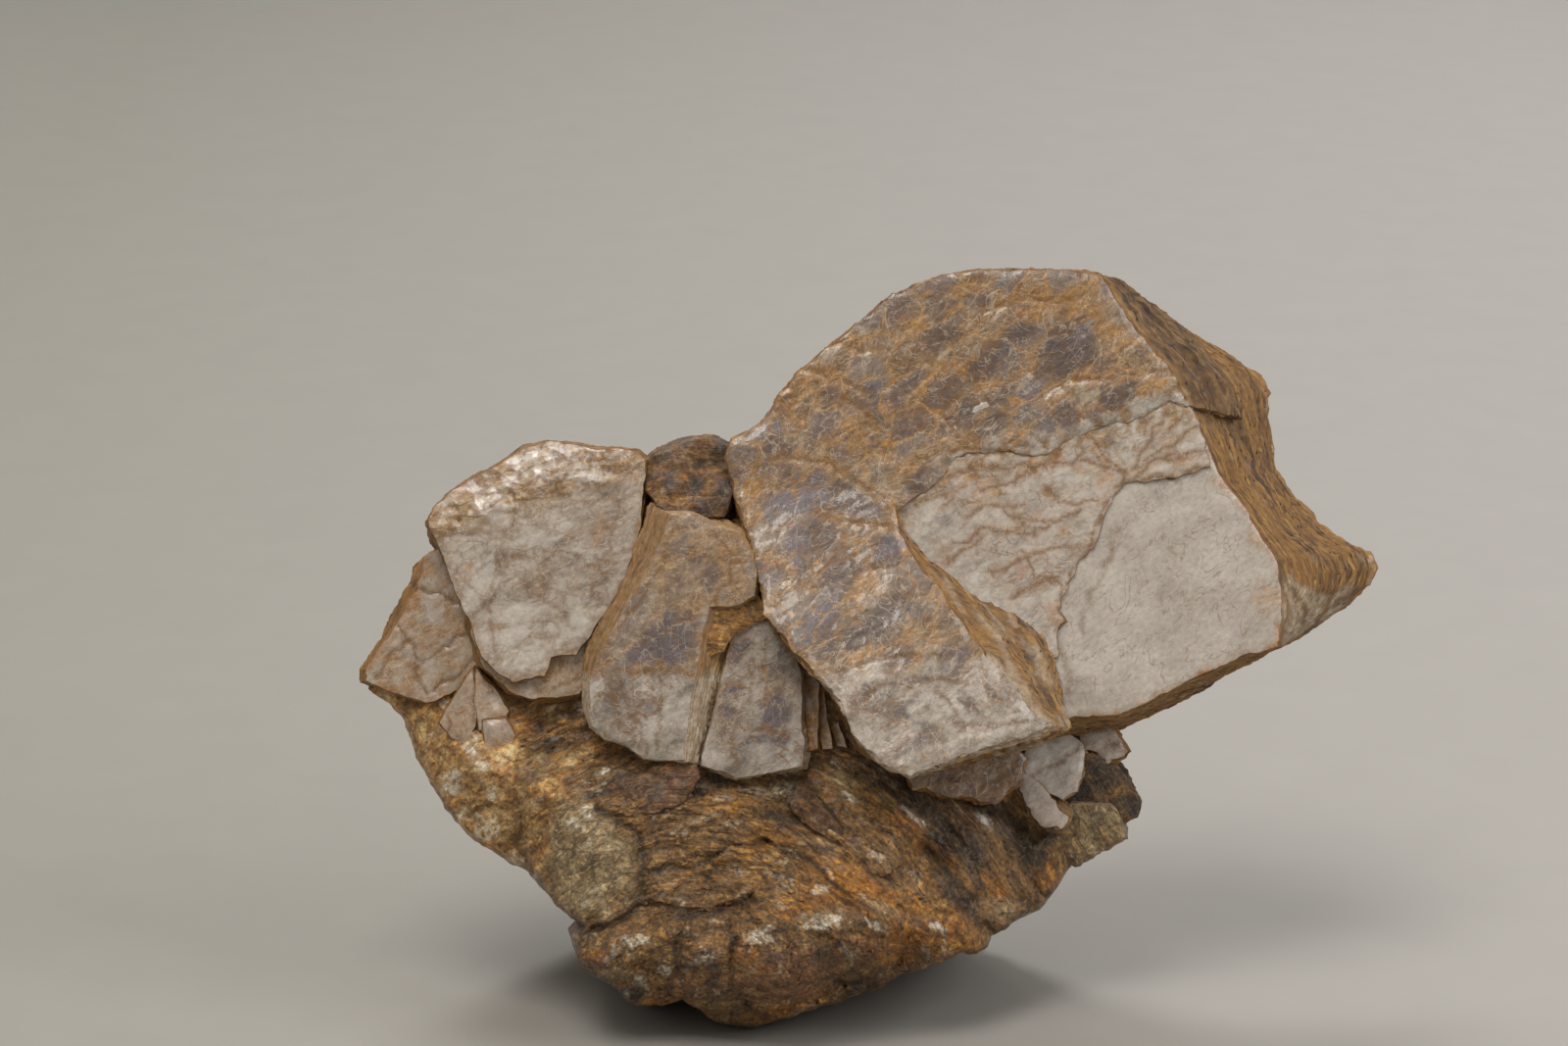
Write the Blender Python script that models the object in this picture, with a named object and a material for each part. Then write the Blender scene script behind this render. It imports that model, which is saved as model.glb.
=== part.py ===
"""A muscovite mica specimen: leafy crystal books grown together on a fibrous mica mass.

It is one natural piece, so every book is joined to the mass in one solid. Metres, +Z up, standing on
its broken base with the display side toward -Y. Points are given on the display side in millimetres:
x to the right, h up along the side, out toward the viewer.
"""

import math

import bpy
import numpy as np
from mathutils import Vector, geometry, noise

# ---------------------------------------------------------------- driving dimensions

MM = 0.001  # metres in a millimetre
LEAN = math.radians(14)  # the display side leans back this far from upright
STAND_AT = (-0.74, -13.57)  # world x and y, in mm, of the display side's zero point
RAG = 0.3  # mm that a broken leaf edge wanders
LEDGE_FACE = 0.72  # share of a ledge that is upright edge, the rest is its tread
GRID_BOOK = 7.0  # mm between points of a bent cleavage face
GRID_MASS = 2.8  # mm between points of the fibrous mass
RIM_INSET = 0.7  # mm that the mass's faces stop short of its rim
RIM_BULGE = 0.4  # mm that the rim swells halfway through
FIBRE_RELIEF = 0.9  # mm of the fibrous ridges' height
BACK_RELIEF = 2.6  # how much rougher the broken back is
FIBRE_ACROSS, FIBRE_ALONG = 3.2, 12.0  # mm from ridge to ridge, and along one

# ---------------------------------------------------------------- the display side


def placed(x, h, out):
    """World position, in metres, of a point of the display side."""
    y = -out * math.cos(LEAN) + h * math.sin(LEAN)
    z = out * math.sin(LEAN) + h * math.cos(LEAN)
    return Vector((x + STAND_AT[0], y + STAND_AT[1], z)) * MM


def plane(at, out, right=0.0, up=0.0):
    """A cleavage face: its height out at one point, and its rise to the right and upward."""
    return lambda x, h: out + right * (x - at[0]) + up * (h - at[1])


def thin_plate(knots):
    """A smooth surface out(x, h) through the knots (x, h, out)."""
    points = np.array(knots, float)
    count = len(points)

    def radial(x, h):
        square = (x - points[:, 0]) ** 2 + (h - points[:, 1]) ** 2
        return square * np.log(square + 1e-9)

    system = np.zeros((count + 3, count + 3))
    for row, (x, h, _) in enumerate(points):
        system[row, :count] = radial(x, h)
        system[row, count:] = system[count:, row] = (1, x, h)
    weights = np.linalg.solve(system, np.append(points[:, 2], (0, 0, 0)))
    return lambda x, h: float(radial(x, h) @ weights[:count] + weights[count:] @ (1, x, h))


# ---------------------------------------------------------------- outlines and lofts


def outward(outline):
    """The unit vector that points out of a counter-clockwise outline at each of its corners."""
    found = []
    for i, corner in enumerate(outline):
        along = outline[(i + 1) % len(outline)] - outline[i - 1]
        found.append(Vector((along.y, -along.x)).normalized() if along.length else corner * 0)
    return found


def grown(outline, by):
    return [corner + side * by for corner, side in zip(outline, outward(outline))]


def cap(outline, spacing):
    """(points, triangles) that fill an outline, with a triangular grid inside it. The outline comes first."""
    points = list(outline)
    if spacing:
        low_x, high_x = min(p.x for p in outline), max(p.x for p in outline)
        low_h, high_h = min(p.y for p in outline), max(p.y for p in outline)
        for row in range(1, int((high_h - low_h) / spacing) + 1):
            for column in range(int((high_x - low_x) / spacing) + 1):
                at = Vector((low_x + (column + row % 2 / 2) * spacing, low_h + row * spacing * 0.87))
                if clear_inside(at, outline, spacing * 0.45):
                    points.append(at)
    ring = [(i, (i + 1) % len(outline)) for i in range(len(outline))]
    found, _, triangles, *_ = geometry.delaunay_2d_cdt(points, ring, [], 1, 1e-6)
    return found, triangles


def clear_inside(at, outline, margin):
    """Whether a point lies inside an outline and at least margin from it."""
    inside = False
    for a, b in zip(outline, outline[1:] + outline[:1]):
        if (a.y > at.y) != (b.y > at.y) and at.x < a.x + (at.y - a.y) * (b.x - a.x) / (b.y - a.y):
            inside = not inside
        near, share = geometry.intersect_point_line(at, a, b)
        near = a if share < 0 else b if share > 1 else near.to_2d()
        if (near - at).length < margin:
            return False
    return inside


def loft(name, rings, front, back, spacing):
    """A closed mesh object over rings of (outline, depth function), capped at both ends."""
    corners = len(rings[0][0])
    points, faces = [], []
    for outline, depth in rings:
        points += [placed(p.x, p.y, depth(p.x, p.y)) for p in outline]
    for ring in range(len(rings) - 1):
        for i in range(corners):
            j = (i + 1) % corners
            a, b = ring * corners + i, ring * corners + j
            faces.append((a, a + corners, b + corners, b))
    for ring, surface, turn in ((0, front, 1), (len(rings) - 1, back, -1)):
        flat, triangles = cap(rings[ring][0], spacing)
        start = len(points) - corners
        points += [placed(p.x, p.y, surface(p.x, p.y)) for p in flat[corners:]]
        for triangle in triangles:
            new = [ring * corners + i if i < corners else start + i for i in triangle]
            faces.append(new[::turn])
    mesh = bpy.data.meshes.new(name)
    mesh.from_pydata(points, [], faces)
    mesh.validate()
    return bpy.data.objects.new(name, mesh)


def ledged_book(name, corners, face, thickness, ledges, spacing=None, slope=1.0):
    """A mica book: a pack of parallel leaves whose edge steps from its front outline to its back one.

    Each corner is (x, h) where both outlines agree, or (x, h, back x, back h). The edge has stepped all
    the way out by `slope` of the thickness, and is upright behind that.
    """
    front = [Vector(c[:2]) for c in corners]
    back = [Vector(c[-2:]) for c in corners]
    rings = []
    for ledge in range(ledges):
        spread = min(1.0, ledge / (ledges - 1) / slope)
        outline = [a.lerp(b, spread) for a, b in zip(front, back)]
        ragged = []
        for corner, side in zip(outline, outward(outline)):
            wander = noise.noise(Vector((corner.x / 3, corner.y / 3, ledge * 1.7)))
            ragged.append(corner + side * wander * RAG)
        for level in (ledge, ledge + LEDGE_FACE):
            depth = thickness * level / (ledges - 1 + LEDGE_FACE)
            rings.append((ragged, lambda x, h, depth=depth: face(x, h) - depth))
    return loft(name, rings, rings[0][1], rings[-1][1], spacing)


# ---------------------------------------------------------------- the great book, on the right

slab_face = plane((30, 47), 4.0, right=-0.06, up=-0.05)
SHEET_BEND_H = 55.0  # mm, below which the upper sheets lift off the slab
SHEET_LIFT = 0.27  # their rise for each mm below it
LIFT_FADE = 0.25  # how much sooner the lift ends for each mm to the right of LIFT_FADE_X
LIFT_FADE_X = 4.0
SHEET_GAP = 0.9  # mm from the slab's face to theirs above it
MIDDLE_GAP = 0.5  # mm from the slab's face to the torn sheets between


def upper_face(x, h):
    below = SHEET_BEND_H - h - LIFT_FADE * max(0.0, x - LIFT_FADE_X)
    return slab_face(x, h) + SHEET_GAP + SHEET_LIFT * max(0.0, below)


def slab():
    """The pale lower pack, whose edge falls back in many steps on the right."""
    corners = [
        (9, 30, 13.5, 26.3), (16, 30.6, 17, 27.8), (21, 31.9, 21, 29.2), (26, 32.3, 26, 30.4),
        (30, 34.2, 30.3, 32.1), (34, 36.2, 34.5, 34.4), (38, 38, 39.5, 37.3), (42, 39.2, 44.5, 39.8),
        (42.4, 42, 50, 43.1), (42.4, 45, 52.6, 45.2), (42.2, 46.4, 53.1, 47), (41.9, 47.8, 52.4, 48.6),
        (40.2, 50.4, 48.2, 50.6), (38.3, 53.6, 44.6, 54.4), (36.2, 56.6, 42.9, 57.2),
        (34.6, 60.2, 42.2, 61), (33, 63.8, 42, 63.6), (31.5, 66.5, 42.1, 65), (29.5, 69, 41.2, 66.8),
        (28, 70.5, 39.6, 67.9), (26.5, 72.5, 36.5, 69.8), (25.5, 74, 33, 71.8), (24.6, 75, 30, 73.6),
        (23.5, 76, 28.4, 74.7), (22, 76.3, 26, 76), (18, 75.5, 20, 76.2), (12, 72, 12, 74),
        (4, 64, 1, 67), (0, 54, -6, 60), (2, 44, -8, 50), (5, 36, -4, 40), (7, 32, 4, 31),
    ]
    return ledged_book("slab", corners, slab_face, 9.5, 9)


def middle_sheets():
    """The few leaves left on the slab beside its bare pale face."""
    corners = [
        (20.6, 38.5), (20.2, 41), (20.8, 43.5), (21, 46), (22.4, 49), (23.6, 52.8),
        (25.8, 55.4, 26, 55), (30.5, 56.4, 30.5, 55.8), (35.3, 57.3, 36, 56.6),
        (34.8, 60.2, 35.4, 60.4), (33.2, 63.4, 33.8, 63.8), (26, 67), (12, 64), (2, 56), (1.5, 50),
        (6, 44), (12, 38), (17, 35),
    ]
    return ledged_book("middle_sheets", corners, lambda x, h: slab_face(x, h) + MIDDLE_GAP, 2.2, 2)


def upper_sheets():
    """The smoky top pack, which lifts off the slab toward its foot and feathers out over it."""
    corners = [
        (4.6, 26.6), (8.5, 28.3, 9, 27.3), (13.5, 29.8, 14, 28.5), (17, 30.8, 17.5, 29.4),
        (18.6, 31.4, 21, 31.2), (17, 32.6, 21.2, 34), (14.6, 35.6, 20.8, 37.8), (12, 38.8, 19, 40.6),
        (9.8, 41.8, 16.4, 42.8), (7.6, 44.8, 12.6, 45.4), (5.4, 47.8, 8.6, 47.8), (3.4, 51, 4.4, 51.2),
        (3, 53, 4, 52.6), (5.5, 54.2), (7.5, 55.6), (8.6, 57.4), (10.5, 59), (14, 58.8), (18.5, 58.7),
        (21, 60.1), (25, 61.8), (28.5, 62.6), (31, 64), (33, 63.6, 38.5, 62.5), (31.8, 66, 37.5, 66),
        (29.2, 69.3, 35, 69), (27.2, 71.8, 31.8, 72), (25.5, 74.5, 28.8, 74.5), (24, 76.8, 26.2, 76.2),
        (21.5, 77.2, 21.5, 76.8), (18, 77.2, 18, 76.6), (14, 77.2, 14, 76.4), (11, 77.2, 11, 76.2),
        (8, 76.5, 8.4, 75.4), (5, 75.6, 5.6, 74.4), (2, 73.9, 2.8, 72.8), (-1, 71.4, 0, 70.4),
        (-3.6, 69.1, -2.6, 68.2), (-6.2, 67.2, -5.2, 66.2), (-8.8, 64.6, -7.4, 64), (-9.4, 62.6),
        (-10.2, 61.4), (-13.2, 60.1, -12, 59.2), (-13.8, 58.2), (-13.2, 55.6), (-12.1, 51.6),
        (-10.9, 48.6), (-10.2, 45.4), (-9.8, 42.6), (-6.6, 38.4), (-3.2, 35), (-1, 31.6), (-0.4, 29.8),
        (2, 27.7),
    ]
    return ledged_book("upper_sheets", corners, upper_face, 5.5, 8, GRID_BOOK, slope=0.7)


def upper_foot():
    """The sheets that hold the top pack up behind its foot and along its left edge."""
    corners = [
        (4.8, 27), (9, 28.2), (14, 29.6), (17, 31), (14, 36), (9, 42), (5, 48), (4, 56), (-2, 63),
        (-8, 63.6), (-10, 61.4), (-12.6, 59.6), (-13.2, 58, -14.2, 58), (-12.8, 55.4, -14, 55.4),
        (-11.8, 51.4, -13, 51.4), (-10.6, 48.4, -11.8, 48.4), (-9.9, 45.2, -11.1, 45.2),
        (-9.4, 42.4, -10.6, 42.2), (-6.3, 38.2, -7.2, 37.8), (-2.9, 34.8, -3.8, 34.4),
        (-0.7, 31.4, -1.6, 31), (-0.1, 29.6, -0.8, 29), (2.4, 27.8, 2, 27.4),
    ]
    return ledged_book("upper_foot", corners, lambda x, h: upper_face(x, h) - 5.0, 5.0, 3)


# ---------------------------------------------------------------- the books on the left

SHOULDER_X, SHOULDER_H, SHOULDER_RISE = -43.5, 50.0, 0.34  # the line where the left book bends back
SHOULDER_ROLL = 0.10  # how fast it bends, in mm for each square mm past the line

left_plane = plane((-33, 47), 6.0, right=0.04, up=-0.02)


def left_face(x, h):
    past = max(0.0, h - SHOULDER_H - SHOULDER_RISE * (x - SHOULDER_X))
    return left_plane(x, h) - SHOULDER_ROLL * past**2


def left_book():
    """The silvery left book, whose top rolls back and glitters."""
    corners = [
        (-35.4, 35.6), (-32.2, 36.2), (-31.6, 38.2), (-29, 38.4), (-27.6, 40), (-26, 42.8),
        (-24.4, 45.6), (-23.1, 49), (-22.4, 52.5), (-22.1, 56), (-22, 58), (-22.8, 58.7),
        (-24.6, 59.1), (-27.2, 59.2), (-29.4, 59.7), (-32, 59.8), (-34.6, 59.2), (-37.6, 57.2),
        (-39.6, 56.2), (-41.6, 54.9), (-43.1, 53.6, -43.6, 53.2), (-43.9, 52, -44.4, 51.6),
        (-43.3, 50, -44.2, 50.2), (-42.5, 48.2, -43, 48.4), (-41.6, 45.9), (-40.5, 43.4),
        (-39.6, 41.2), (-38.6, 38.2), (-37, 36.7),
    ]
    return ledged_book("left_book", corners, left_face, 9.5, 5, GRID_BOOK)


def left_under_leaves():
    """The thin brown leaves that show below the left book's foot."""
    corners = [
        (-38.8, 37.6), (-35.9, 34.8), (-33.6, 33.9), (-31, 33.9), (-28.8, 34.5), (-27.8, 36),
        (-26.6, 38.4), (-24.8, 42.4), (-28, 46), (-36, 46), (-40, 42),
    ]
    return ledged_book("left_under_leaves", corners, lambda x, h: left_plane(x, h) - 1.3, 4.0, 2)


def wing_book():
    """The book that juts out on the far left."""
    corners = [
        (-50.6, 35.6, -51.5, 35.4), (-47.2, 34.3), (-44.4, 33.4), (-41.6, 34.4), (-38.6, 37),
        (-38, 42), (-40, 48), (-43, 49.2), (-44.6, 48.2), (-45, 46.2, -45.9, 47.2),
        (-45.2, 45.2, -46.3, 45.4), (-46.6, 42.8, -47.7, 42.8), (-48.6, 39.6, -49.6, 39.4),
        (-50.6, 36.8, -51.6, 36.4),
    ]
    return ledged_book("wing_book", corners, plane((-46, 40), 1.6, right=0.1, up=-0.03), 6.0, 4)


def middle_book():
    """The narrow book between the left and the great one, with its laminated sides showing."""
    corners = [
        (-17.9, 28.7, -16.6, 27.4), (-17.2, 32, -15.8, 32), (-16.4, 36, -15, 36), (-15.4, 40, -14.1, 40),
        (-14.7, 43, -13.4, 42.6), (-12.6, 43.4, -12.2, 42.8), (-11, 44.4, -10.2, 44), (-10.8, 46, -10.2, 46),
        (-11.4, 48.6, -10.8, 48.6), (-12.6, 50.6, -12, 51), (-15.4, 51.9), (-17.2, 52.6),
        (-19.3, 52.4, -21.6, 53.6), (-20.4, 50, -22.7, 50.6), (-21.6, 47.2, -23.9, 47.6),
        (-23.4, 44.2, -25.3, 44.4), (-25.2, 41, -26.9, 41.2), (-26.6, 38.2, -28.2, 38.4),
        (-27.4, 36, -28.5, 36), (-27.6, 33, -28.1, 33), (-27.3, 31.2), (-26, 30), (-24, 29.4),
        (-22, 28.1), (-20, 28.4),
    ]
    face = plane((-20, 40), 8.6, right=0.06, up=0.02)
    return ledged_book("middle_book", corners, face, 8.0, 6, slope=0.5)


def crown_block():
    """The dark broken top of the middle book, which slopes back."""
    corners = [
        (-14.2, 52.4), (-13.2, 54.8), (-13.4, 57.2), (-13.6, 59.2), (-15.4, 60), (-17, 60),
        (-19, 59.5), (-21, 58.5), (-21.9, 57.6), (-21.8, 55), (-21.4, 52.4), (-18, 51),
    ]
    return ledged_book("crown_block", corners, plane((-17, 56), 6.4, up=-0.38), 9.0, 4)


def small_book():
    """The lilac book tucked between the middle and the great one."""
    corners = [
        (-16.4, 27.2), (-14, 26.2), (-10, 26.2), (-8, 27), (-6.2, 27.8), (-5.9, 30), (-6.2, 33),
        (-6.4, 36), (-7, 38.4), (-9, 41.4), (-11, 42.2), (-12.4, 42), (-14, 40.2), (-14.6, 38),
        (-15.2, 35), (-15.8, 32), (-16.5, 29),
    ]
    return ledged_book("small_book", corners, plane((-11, 34), 6.3, up=0.03), 6.0, 3)


BLADES = 4  # edge-on leaves fanned between the small and the great book
BLADE_APEX = (-6.0, 37.4)
BLADE_FOOT_H = 28.6
BLADE_FOOT_X, BLADE_STEP = -5.6, 1.5  # mm, the first blade's foot and the distance to the next


def fan_blades():
    """Narrow blades spread from one apex, each lower than the last."""
    made = []
    for number in range(BLADES):
        foot = BLADE_FOOT_X + number * BLADE_STEP
        corners = [
            (foot, BLADE_FOOT_H + 0.2 * number), (foot + 1.0, BLADE_FOOT_H + 0.3),
            (BLADE_APEX[0] + 1.5 + number * 0.5, 35.4 - number * 0.4), BLADE_APEX,
        ]
        face = plane((foot, 32), 5.6 - 0.5 * number, right=0.5)
        made.append(ledged_book(f"fan_blade_{number + 1}", corners, face, 4.5, 2))
    return made


def petal_leaves():
    """Two short curled packs under the wing."""
    first = [(-42.6, 30.2), (-40.6, 30.2), (-39.6, 32), (-39.6, 35), (-40.2, 37.4), (-42, 35.5), (-43.2, 33)]
    second = [(-38.9, 31.2), (-36.9, 31.4), (-36.2, 33.4), (-37.4, 35.6), (-39.2, 37), (-39.3, 34)]
    return [
        ledged_book("petal_1", first, plane((-41, 33), 4.6, right=0.35, up=0.1), 5.0, 2),
        ledged_book("petal_2", second, plane((-38, 33), 5.6, right=-0.2, up=0.05), 5.0, 2),
    ]


def mass_sheets():
    """Sheets of the mass that stand out of its slope: a dark wedge, a smoky plate and a flake."""
    wedge = [(-27.6, 23.2), (-24, 22.4), (-20.4, 22.6), (-18, 23.8), (-16.6, 26), (-17.4, 27.8), (-20, 27.9),
             (-22.4, 26.6), (-25.6, 25.4)]
    smoky = [(5, 24.6), (9.6, 23.8), (13.4, 23.4), (15.6, 24.8), (16.4, 27.6), (14, 30), (8, 29), (4.6, 27)]
    lens = [(-7.2, 23.4), (-5, 20.8), (-1.8, 19.6), (-2.6, 21.8), (-4.4, 24), (-6.4, 24.6)]
    return [
        ledged_book("wedge_sheet", wedge, plane((-22, 25), 9.4, right=0.06, up=-0.3), 5.0, 3),
        ledged_book("smoky_plate", smoky, plane((10, 26), 3.6, right=-0.16, up=-0.1), 5.0, 3),
        ledged_book("lens_flake", lens, plane((-5, 22), 8.4, right=-0.15, up=-0.25), 3.0, 2),
    ]


def foot_plates():
    """Broken dark and pale plates that stick out under the great book on the right."""
    back = [(14, 23), (18, 19.5), (21.4, 17.4), (24, 21), (25.6, 26), (24.8, 30.5), (20, 33), (14, 31)]
    pale = [(16.2, 26.4), (18, 25), (20.4, 23.8), (21.8, 24.4), (22.6, 27), (22.2, 29.4), (20, 31), (17, 29.6)]
    dark = [(20.8, 23), (22.4, 21.8), (25.6, 21.4), (28, 21.8), (28.3, 23), (26.8, 25.4),
            (24.8, 27.6), (22.2, 28), (21, 26)]
    chip = [(22.6, 28.4), (25.2, 27), (26.6, 28.4), (25.8, 30.2), (24.6, 31.6), (22, 30.6)]
    lower = [(20, 18.6), (22, 16.8), (24.6, 18.3), (26.9, 19.4), (26.4, 21.4), (25.2, 22.8), (21.4, 23),
             (19.4, 21)]
    inner = [(15.6, 24.2), (17.4, 21.4), (19.2, 19.8), (20.6, 20), (21.4, 21.4), (20, 23.4), (18.2, 25.2),
             (16, 26.6)]
    return [
        ledged_book("back_plate", back, plane((20, 25), -2.2, right=-0.1), 5.0, 2),
        ledged_book("pale_plate", pale, plane((20, 27), 1.2, right=-0.2, up=0.1), 6.0, 2),
        ledged_book("dark_plate", dark, plane((24, 25), -0.2, right=0.05, up=0.25), 4.0, 3),
        ledged_book("chip_plate", chip, plane((24, 29), 0.0, right=0.1, up=-0.2), 4.0, 2),
        ledged_book("lower_plate", lower, plane((23, 20), -1.2, right=-0.05, up=0.35), 5.0, 3),
        ledged_book("inner_plate", inner, plane((18, 23), 2.6, right=0.3, up=0.15), 6.0, 2),
    ]


# ---------------------------------------------------------------- the fibrous mass

MASS_OUTLINE = [
    (-50, 34.8), (-48, 33.5), (-46.8, 31.8), (-46, 30), (-45, 27.5), (-44, 25.5), (-42.8, 23),
    (-41.5, 21.3), (-40, 19.5), (-38, 18.2), (-36, 17.2), (-34, 16.2), (-32.5, 14.5), (-31, 12.8),
    (-29.5, 11.7), (-28.2, 11), (-29.6, 9.8), (-29, 8), (-28.4, 6.5), (-27, 5.5), (-25.3, 4.8),
    (-23.8, 3.2), (-22.5, 2.6), (-20, 2.7), (-18.3, 3.3), (-17, 2.3), (-15, 0.6), (-13, 0.1),
    (-11.5, 0.3), (-8.5, 0.9), (-6, 1.7), (-4, 2.4), (-2, 3), (0, 3.8), (2, 4.2), (4, 5.8), (6, 6.3),
    (8, 6.9), (10, 8), (11.6, 7.8), (12.6, 8.5), (13, 9.7), (14.5, 10.3), (16, 11.5), (18, 12.3),
    (19.5, 13.8), (20.5, 15.5), (22, 17.6), (23.6, 20), (24.6, 23), (25, 26), (24.6, 29), (23, 33),
    (17, 38), (9, 43), (2, 48), (-6, 52),
    (-16, 55), (-27, 54), (-36, 50), (-42, 44), (-47, 38),
]
FRONT_KNOTS = [
    # behind the books
    (-40, 46, -1), (-30, 50, 0), (-30, 42, 3), (-16, 53, 2), (-22, 50, 3.4), (-20, 44, 4.4), (-8, 46, 4),
    (2, 44, 1), (-4, 38, 3.6), (0, 34, 4), (8, 36, 1),
    # the hollow just below the books
    (-33, 31, 2.5), (-24, 28, 5), (-15, 25.5, 5), (-8, 25, 4.8), (0, 26, 4), (6, 25, 2.4), (12, 24, 1),
    (17, 21, 0), (18, 30, -2), (24, 27, -3), (22, 33, -3), (15, 39, 0),
    # the slope below it, with its long furrows
    (-26, 23.6, 7.6), (-20, 24, 7.6), (-20, 19, 8), (-14, 21, 8.8), (-12, 17, 8.6), (-4, 20, 7),
    (-3, 16, 9), (3, 20, 7.4), (6, 17, 5), (10, 18, 4.6), (13, 14, 3.4), (16, 15, 1.4), (20, 15, -1.4),
    # the forward ledge
    (-28, 9.4, 9), (-25, 10, 11.4), (-22, 12, 9.6), (-18, 11, 12.4), (-15, 13, 10), (-10, 11.6, 13.4),
    (-4, 12.4, 13.8), (0, 10, 12.4), (3, 12.4, 10.4), (7, 10, 9), (12, 9, 5),
    # the overhung foot
    (-28, 7, 7.4), (-25, 6, 9.4), (-21, 6, 8.4), (-18, 7, 10.6), (-14, 4, 8.4), (-8, 6, 12), (-2, 6.6, 8.4),
    (4, 7.6, 7),
    (-22, 3, 5.6), (-13, 1, 3), (-5, 2.6, 4.4), (2, 4.6, 4),
    # the golden flank on the left
    (-29, 22, 8), (-26, 18, 9.4), (-28, 14, 8), (-32, 24, 6.6), (-33, 18, 4), (-36, 26, 5.6),
    (-40, 28, 4), (-42, 25, 1.4), (-38, 21, 2), (-44, 29, 0.4), (-47.6, 34, -0.6),
]
BACK_KNOTS = [
    (-13, 0, -33), (-13, 12, -35), (-4, 8, -34), (8, 10, -30), (-24, 10, -32), (0, 20, -31),
    (14, 16, -22), (20, 18, -12), (-30, 22, -24), (-38, 26, -15), (-46, 33, -7), (-16, 30, -27),
    (0, 34, -20), (12, 30, -15), (24, 27, -11), (22, 33, -11), (15, 39, -11), (4, 46, -9),
    (-8, 48, -12), (-22, 48, -13), (-34, 42, -11),
    (-42, 40, -6), (-28, 5, -29), (-16, 55, -6),
]


def fibre_relief(x, h, seed):
    """Ridges that fan out across the mass, from level on the left to steep on the right."""
    slope = math.radians(12 - 3.2 * max(0.0, x + 10))
    along = x * math.cos(slope) + h * math.sin(slope)
    across = h * math.cos(slope) - x * math.sin(slope)
    return FIBRE_RELIEF * noise.noise(Vector((along / FIBRE_ALONG, across / FIBRE_ACROSS, seed)))


def fibrous_mass():
    """The broken mass that carries the books, from the golden flank to the foot."""
    front, back = thin_plate(FRONT_KNOTS), thin_plate(BACK_KNOTS)
    outline = [Vector(corner) for corner in MASS_OUTLINE]

    def front_side(x, h):
        return front(x, h) + fibre_relief(x, h, 0.0)

    def back_side(x, h):
        return back(x, h) + BACK_RELIEF * fibre_relief(x, h, 7.0)

    def between(share):
        return lambda x, h: front_side(x, h) * (1 - share) + back_side(x, h) * share

    shares = ((-RIM_INSET, 0.0), (0.0, 0.08), (RIM_BULGE, 0.5), (0.0, 0.9), (-RIM_INSET, 1.0))
    rings = [(grown(outline, by), between(share)) for by, share in shares]
    return loft("mica_crystal", rings, front_side, back_side, GRID_MASS)


# ---------------------------------------------------------------- joining and the standing face

FLOOR_BLOCK = (300, 300, 60)  # mm, what is cut away below the base


def muscovite():
    material = bpy.data.materials.new("muscovite")
    material.use_nodes = True
    shader = material.node_tree.nodes["Principled BSDF"]
    shader.inputs["Base Color"].default_value = (0.30, 0.23, 0.16, 1)
    shader.inputs["Roughness"].default_value = 0.35
    return material


def floor_block():
    bpy.ops.mesh.primitive_cube_add(size=1, location=(0, 0, -FLOOR_BLOCK[2] / 2 * MM))
    block = bpy.context.object
    block.name = "floor_block"
    block.scale = Vector(FLOOR_BLOCK) * MM
    return block


def boolean(specimen, operation, tools, name):
    """Joins every helper in a collection to the specimen, or cuts them all away, and hides them."""
    modifier = specimen.modifiers.new(name, "BOOLEAN")
    modifier.operation = operation
    modifier.operand_type = "COLLECTION"
    modifier.collection = tools
    for tool in tools.objects:
        tool.hide_render = True
        tool.display_type = "WIRE"


def new_collection(name, objects):
    collection = bpy.data.collections.new(name)
    bpy.context.scene.collection.children.link(collection)
    for item in objects:
        for old in list(item.users_collection):
            old.objects.unlink(item)
        collection.objects.link(item)
    return collection


def main():
    for old in list(bpy.data.objects):
        bpy.data.objects.remove(old)
    specimen = fibrous_mass()
    specimen.data.materials.append(muscovite())
    new_collection("mica_crystal", [specimen])
    books = [
        slab(), middle_sheets(), upper_sheets(), upper_foot(), left_book(), left_under_leaves(), wing_book(),
        middle_book(), crown_block(), small_book(), *fan_blades(), *petal_leaves(),
        *mass_sheets(), *foot_plates(),
    ]
    boolean(specimen, "UNION", new_collection("books", books), "join_books")
    boolean(specimen, "DIFFERENCE", new_collection("cutters", [floor_block()]), "flat_base")


main()
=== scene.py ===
# %% [markdown]
# # A muscovite mica specimen
#
# The real thing is a hand-sized group of mica books: packs of thousands of thin sheets that grew
# together on a brown, fibrous mass of finer mica. Each cell below makes one part of it. The solid
# it was planned in comes first, because its box is the size that the finished mineral has to
# keep.

# %% Open the planned solid
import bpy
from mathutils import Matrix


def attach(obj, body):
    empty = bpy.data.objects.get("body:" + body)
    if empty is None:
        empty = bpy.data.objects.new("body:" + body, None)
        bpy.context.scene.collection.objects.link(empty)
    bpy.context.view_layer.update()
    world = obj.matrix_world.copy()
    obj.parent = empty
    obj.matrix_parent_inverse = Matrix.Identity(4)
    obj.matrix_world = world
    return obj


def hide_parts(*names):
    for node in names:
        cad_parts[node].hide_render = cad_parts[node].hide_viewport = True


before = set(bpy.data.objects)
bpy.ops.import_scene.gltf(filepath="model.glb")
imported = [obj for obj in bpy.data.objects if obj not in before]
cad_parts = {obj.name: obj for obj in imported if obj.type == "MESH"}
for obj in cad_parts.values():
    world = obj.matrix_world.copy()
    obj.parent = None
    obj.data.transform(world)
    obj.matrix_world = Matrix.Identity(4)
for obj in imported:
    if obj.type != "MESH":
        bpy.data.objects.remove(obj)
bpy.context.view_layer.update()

# %% Tools
import math
from functools import reduce

import bpy
import numpy as np
from mathutils import Vector, geometry

MM = 0.001  # metres in a millimetre

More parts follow.
